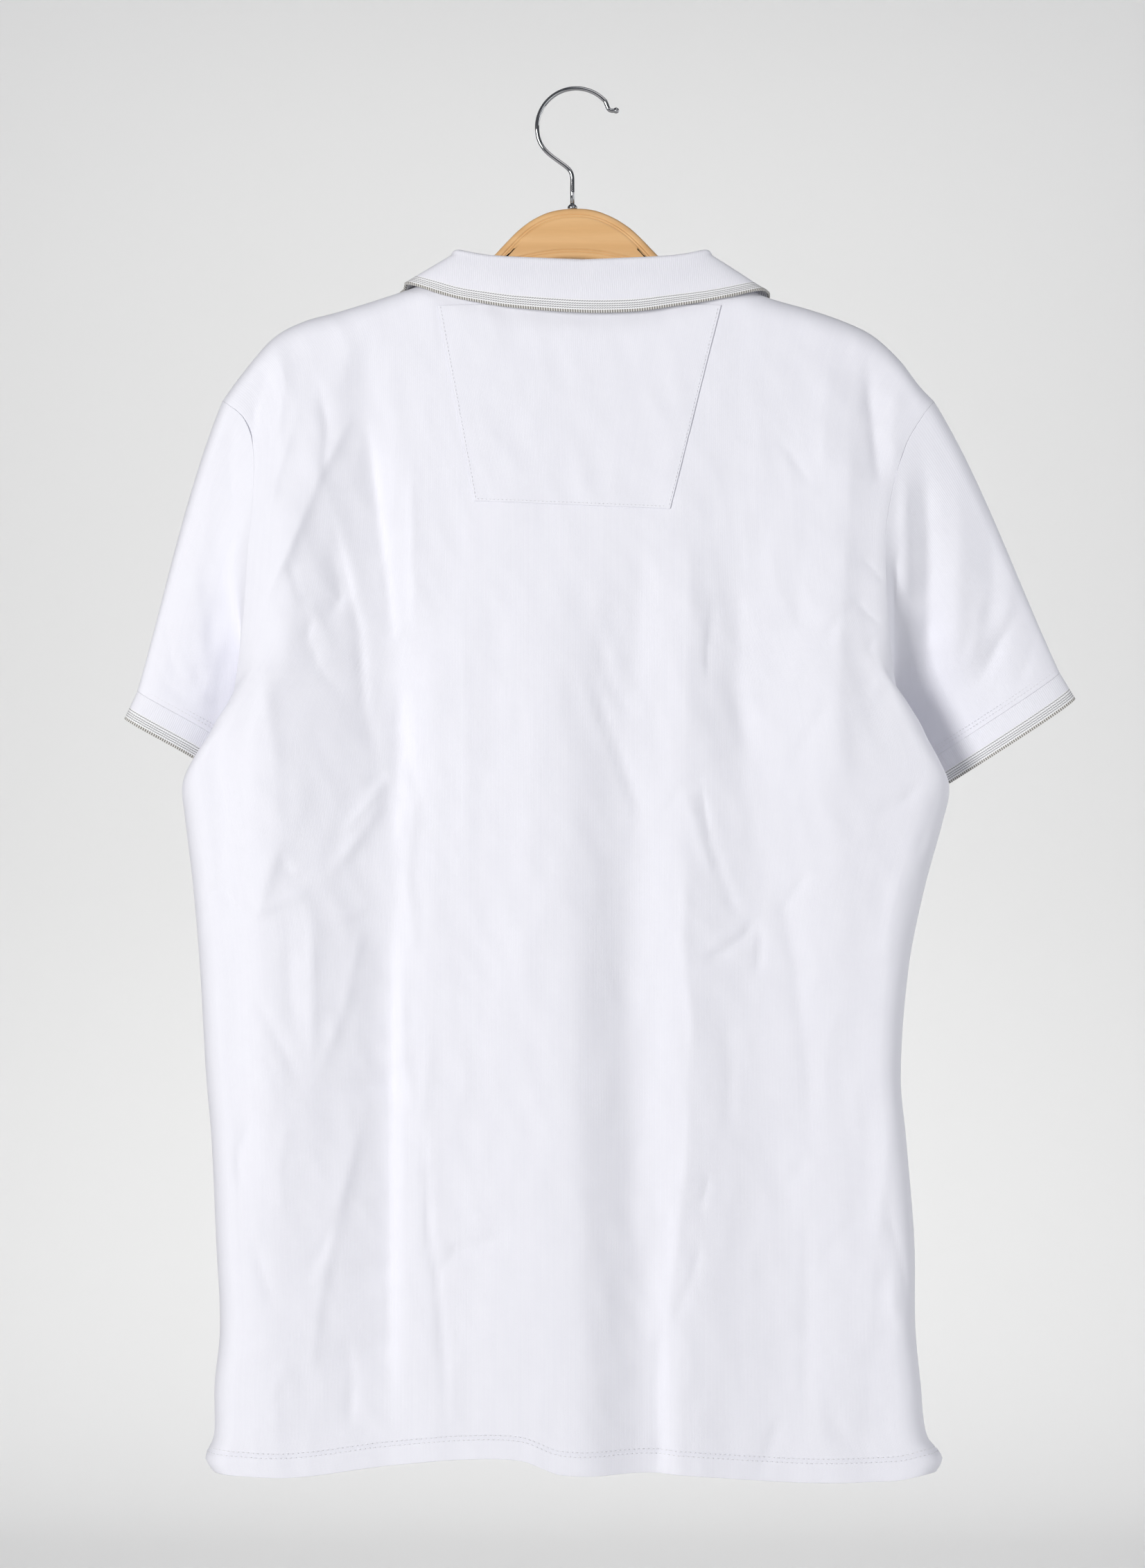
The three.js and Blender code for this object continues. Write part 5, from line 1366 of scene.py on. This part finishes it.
def even_line(points, count):
    """Points at even lengths along a line, each with the way the line runs there."""
    lengths = [0.0]
    for a, b in zip(points, points[1:]):
        lengths.append(lengths[-1] + (b - a).length)
    line = []
    n = 0
    for i in range(count):
        at = lengths[-1] * i / (count - 1)
        while n < len(points) - 2 and lengths[n + 1] < at:
            n += 1
        t = (at - lengths[n]) / max(lengths[n + 1] - lengths[n], 1e-6)
        line.append(points[n].lerp(points[n + 1], clamp(t, 0, 1)))
    runs = [(line[min(i + 1, count - 1)] - line[max(i - 1, 0)]).normalized() for i in range(count)]
    return list(zip(line, runs))


first = min(range(len(outline)), key=lambda i: outline[i].x)
outline = outline[first:] + outline[:first]
last = max(range(len(outline)), key=lambda i: outline[i].x)
upper = even_line(outline[: last + 1], WOOD_COLUMNS)
lower = even_line([outline[0], *reversed(outline[last:])], WOOD_COLUMNS)
edge_start = WOOD_THICKNESS / 2 - WOOD_EDGE
half_profile = [(0, 0), (0, edge_start)]
for i in range(1, 6):
    turn = math.pi / 2 * i / 5
    half_profile.append((WOOD_EDGE * (1 - math.cos(turn)), edge_start + WOOD_EDGE * math.sin(turn)))
half_profile += ROUTED


def wood_section(c):
    """One closed section of the board: down the shown face and up the other."""
    (top, top_run), (low, low_run) = upper[c], lower[c]
    top_in, low_in = Vector((top_run.y, -top_run.x)), Vector((-low_run.y, low_run.x))
    face = [(top + top_in * inward, deep) for inward, deep in half_profile]
    far = [(low + low_in * inward, deep) for inward, deep in reversed(half_profile)]
    across = [face[-1][0].lerp(far[0][0], share) for share in (0.25, 0.5, 0.75)]
    middle = [(spot, WOOD_THICKNESS / 2) for spot in across]
    shown = face + middle + far
    points = [Vector((spot.x, -deep, spot.y)) for spot, deep in shown]
    points += [Vector((spot.x, deep, spot.y)) for spot, deep in reversed(shown[1:-1])]
    return points + [points[0].copy()]


wood_sections = [wood_section(c) for c in range(WOOD_COLUMNS)]
wood = cloth_grid(
    "hanger_wood",
    lambda c, r: wood_sections[r][c].copy(),
    len(wood_sections[0]),
    WOOD_COLUMNS,
    closed=True,
)


def maple(name):
    """Pale maple with long fine grain along the board, under clear satin lacquer."""
    shade = Shade(name)
    place = shade.add("ShaderNodeTexCoord").outputs["Object"]
    fibres = {"Scale": 4.0, "Detail": 6.0, "Roughness": 0.62, "Distortion": 0.6}
    stretched = shade.add("ShaderNodeMapping", {"Vector": place, "Scale": (9.0, 90.0, 90.0)})
    grain = shade.add("ShaderNodeTexNoise", {"Vector": stretched.outputs[0], **fibres}).outputs[0]
    rings = {"Scale": 1.6, "Distortion": 5.0, "Detail": 3.0}
    broad = shade.add("ShaderNodeMapping", {"Vector": place, "Scale": (2.0, 14.0, 14.0)})
    bands = shade.add(
        "ShaderNodeTexWave", {"Vector": broad.outputs[0], **rings}, bands_direction="Z"
    ).outputs[1]
    colour = shade.mix(bands, (0.83, 0.52, 0.245, 1), (0.76, 0.45, 0.195, 1))
    fine = shade.mix(shade.math("MULTIPLY", grain, 0.55), colour, (0.60, 0.33, 0.13, 1))
    shade.set(shade.surface.inputs["Base Color"], fine)
    bump = shade.add("ShaderNodeBump", {"Strength": 0.18, "Distance": 0.0002, "Height": grain})
    shade.set(shade.surface.inputs["Normal"], bump.outputs[0])
    shade.set(shade.surface.inputs["Roughness"], shade.math("MULTIPLY_ADD", grain, 0.18, 0.34))
    shade.surface.inputs["Coat Weight"].default_value = 0.25
    shade.surface.inputs["Coat Roughness"].default_value = 0.25
    return shade.material


wood.data.materials.append(maple("pale_maple"))
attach(wood, "root")
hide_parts("hanger")

# Hook and ferrule
# The hook is one bent chromed wire with a small ball on its free end.
# It goes through a little chromed collar into the top of the wood.
WIRE_RADIUS = 1.4
BEND_RADIUS = 25.4
HOOK_STEM_X = -1
HOOK_FOOT_Z = -73.6
FERRULE_FOOT_Z = -76.7


def chrome(name):
    shade = Shade(name)
    wear = shade.object_noise(240, 3)
    tone = shade.mix(wear, (0.47, 0.475, 0.49, 1), (0.36, 0.365, 0.38, 1))
    shade.set(shade.surface.inputs["Base Color"], tone)
    shade.set(shade.surface.inputs["Roughness"], shade.math("MULTIPLY_ADD", wear, 0.08, 0.04))
    shade.surface.inputs["Metallic"].default_value = 1.0
    return shade.material


chromed = chrome("bright_chrome")
bend_x, bend_z = 1.5, WIRE_RADIUS - BEND_RADIUS
BEND_START, BEND_END = 42, 188


def bend_point(degrees):
    turn = math.radians(degrees)
    return Vector((bend_x + BEND_RADIUS * math.cos(turn), bend_z + BEND_RADIUS * math.sin(turn)))


path = [Vector((27, -13))]
path += bezier((27, -13), (22, -13.6), (22.6, -12), bend_point(BEND_START), 10)
path += [bend_point(lerp(BEND_START, BEND_END, i / 48)) for i in range(1, 49)]
path += bezier(path[-1], (-22.6, -37), (-16, -41.5), (-10.5, -45.5), 12)
path += bezier((-10.5, -45.5), (-4, -50.2), (HOOK_STEM_X, -51.5), (HOOK_STEM_X, -58), 12)
path.append(Vector((HOOK_STEM_X, -66)))
path.append(Vector((HOOK_STEM_X, HOOK_FOOT_Z - 1.5)))

wire = bmesh.new()
before = None
for i, place in enumerate(path):
    run = (path[min(i + 1, len(path) - 1)] - path[max(i - 1, 0)]).normalized()
    made = bmesh.ops.create_circle(wire, segments=16, radius=WIRE_RADIUS)
    for vert in made["verts"]:
        x, y = vert.co.x, vert.co.y
        vert.co = Vector((place.x - run.y * x, y, place.y + run.x * x)) * MM
    edges = list({e for v in made["verts"] for e in v.link_edges})
    if before is not None:
        bmesh.ops.bridge_loops(wire, edges=before + edges)
    before = edges
bmesh.ops.holes_fill(wire, edges=wire.edges, sides=16)
ball = bmesh.ops.create_uvsphere(wire, u_segments=20, v_segments=12, radius=2.0 * MM)
bmesh.ops.translate(wire, verts=ball["verts"], vec=(0.0274, 0, -0.013))
bmesh.ops.recalc_face_normals(wire, faces=wire.faces)
hook_mesh = bpy.data.meshes.new("hook_wire")
wire.to_mesh(hook_mesh)
wire.free()
hook_mesh.shade_smooth()
hook = bpy.data.objects.new("hook_wire", hook_mesh)
bpy.context.scene.collection.objects.link(hook)
hook.data.materials.append(chromed)
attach(hook, "root")
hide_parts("hook")

turned = bmesh.new()
profile = [(0, 0), (3.0, 0), (3.2, 0.3), (3.2, 1.1), (2.9, 1.5), (2.3, 2.4), (1.9, 2.6), (0, 2.6)]
spots = [turned.verts.new(Vector((r, 0, z)) * MM) for r, z in profile]
sides = [turned.edges.new(pair) for pair in zip(spots, spots[1:])]
bmesh.ops.spin(
    turned, geom=spots + sides, cent=(0, 0, 0), axis=(0, 0, 1), angle=2 * math.pi, steps=32,
    use_merge=True,
)
bmesh.ops.remove_doubles(turned, verts=turned.verts, dist=1e-6)
bmesh.ops.recalc_face_normals(turned, faces=turned.faces)
bmesh.ops.translate(turned, verts=turned.verts, vec=(HOOK_STEM_X * MM, 0, FERRULE_FOOT_Z * MM))
ferrule_mesh = bpy.data.meshes.new("ferrule_ring")
turned.to_mesh(ferrule_mesh)
turned.free()
ferrule_mesh.shade_smooth()
ferrule_mesh.set_sharp_from_angle(angle=math.radians(40))
ferrule = bpy.data.objects.new("ferrule_ring", ferrule_mesh)
bpy.context.scene.collection.objects.link(ferrule)
ferrule.data.materials.append(chromed)
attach(ferrule, "root")
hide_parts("ferrule")

# Floor and lights
# A pale grey sweep runs from a plain floor up a far wall, so no edge shows behind the garment.
# A soft light stands in front to the left, weaker ones to the right and above, and two more
# light the wall alone: a strip along its foot and a narrow one hung before its top.
FLOOR_Z = -1.6
WALL_Y = 4.2
SWEEP_RADIUS = 1.0

sweep = bmesh.new()
bend_y = WALL_Y - SWEEP_RADIUS
line = [(-3.2, FLOOR_Z), (bend_y, FLOOR_Z)]
for i in range(1, 13):
    turn = math.pi / 2 * i / 12
    rise = SWEEP_RADIUS * (1 - math.cos(turn))
    line.append((bend_y + SWEEP_RADIUS * math.sin(turn), FLOOR_Z + rise))
line.append((WALL_Y, 3.2))
points = [sweep.verts.new((-5, y, z)) for y, z in line]
edges = [sweep.edges.new(pair) for pair in zip(points, points[1:])]
grown = bmesh.ops.extrude_edge_only(sweep, edges=edges)
far_side = [v for v in grown["geom"] if isinstance(v, bmesh.types.BMVert)]
bmesh.ops.translate(sweep, verts=far_side, vec=(10, 0, 0))
bmesh.ops.recalc_face_normals(sweep, faces=sweep.faces)
sweep_mesh = bpy.data.meshes.new("backdrop")
sweep.to_mesh(sweep_mesh)
sweep.free()
sweep_mesh.shade_smooth()
backdrop = bpy.data.objects.new("backdrop", sweep_mesh)
bpy.context.scene.collection.objects.link(backdrop)
paper = Shade("grey_paper")
paper.surface.inputs["Base Color"].default_value = (0.78, 0.78, 0.775, 1)
paper.surface.inputs["Roughness"].default_value = 0.95
paper.surface.inputs["Specular IOR Level"].default_value = 0.1
backdrop.data.materials.append(paper.material)


def soft_light(name, place, aim, size, energy, colour=(1, 1, 1)):
    light = bpy.data.lights.new(name, "AREA")
    light.shape = "RECTANGLE"
    light.size, light.size_y = size
    light.energy = energy
    light.color = colour
    lamp = bpy.data.objects.new(name, light)
    bpy.context.scene.collection.objects.link(lamp)
    lamp.location = place
    lamp.rotation_euler = (Vector(aim) - Vector(place)).to_track_quat("-Z", "Y").to_euler()
    return lamp


WARM = (1.0, 0.99, 0.97)
soft_light("key_light", (-1.9, -2.75, -0.1), (0, 0, -0.5), (1.0, 1.0), 79, WARM)
soft_light("fill_light", (1.3, -2.9, -0.7), (0.1, 0, -0.5), (1.6, 1.6), 10)
soft_light("side_light", (2.6, 0.2, -0.5), (0.15, 0, -0.5), (1.2, 1.6), 22)
soft_light("top_light", (0.7, -1.1, 1.5), (0, 0, -0.4), (1.6, 1.2), 8)
foot, head = (0.0, WALL_Y - 2.1, FLOOR_Z + 0.05), (0.0, WALL_Y - 1.4, 2.3)
soft_light("floor_light", foot, (0, WALL_Y, 0.3), (4.0, 0.2), 27)
wall_light = soft_light("wall_light", head, (0, WALL_Y - 0.4, -0.9), (4.0, 0.5), 25.5)
wall_light.data.spread = math.radians(95)
world = bpy.data.worlds.new("studio")
bpy.context.scene.world = world
world.use_nodes = True
world.node_tree.nodes["Background"].inputs[0].default_value = (0.90, 0.92, 1.0, 1)
world.node_tree.nodes["Background"].inputs[1].default_value = 0.15
bpy.context.scene.view_settings.view_transform = "Standard"
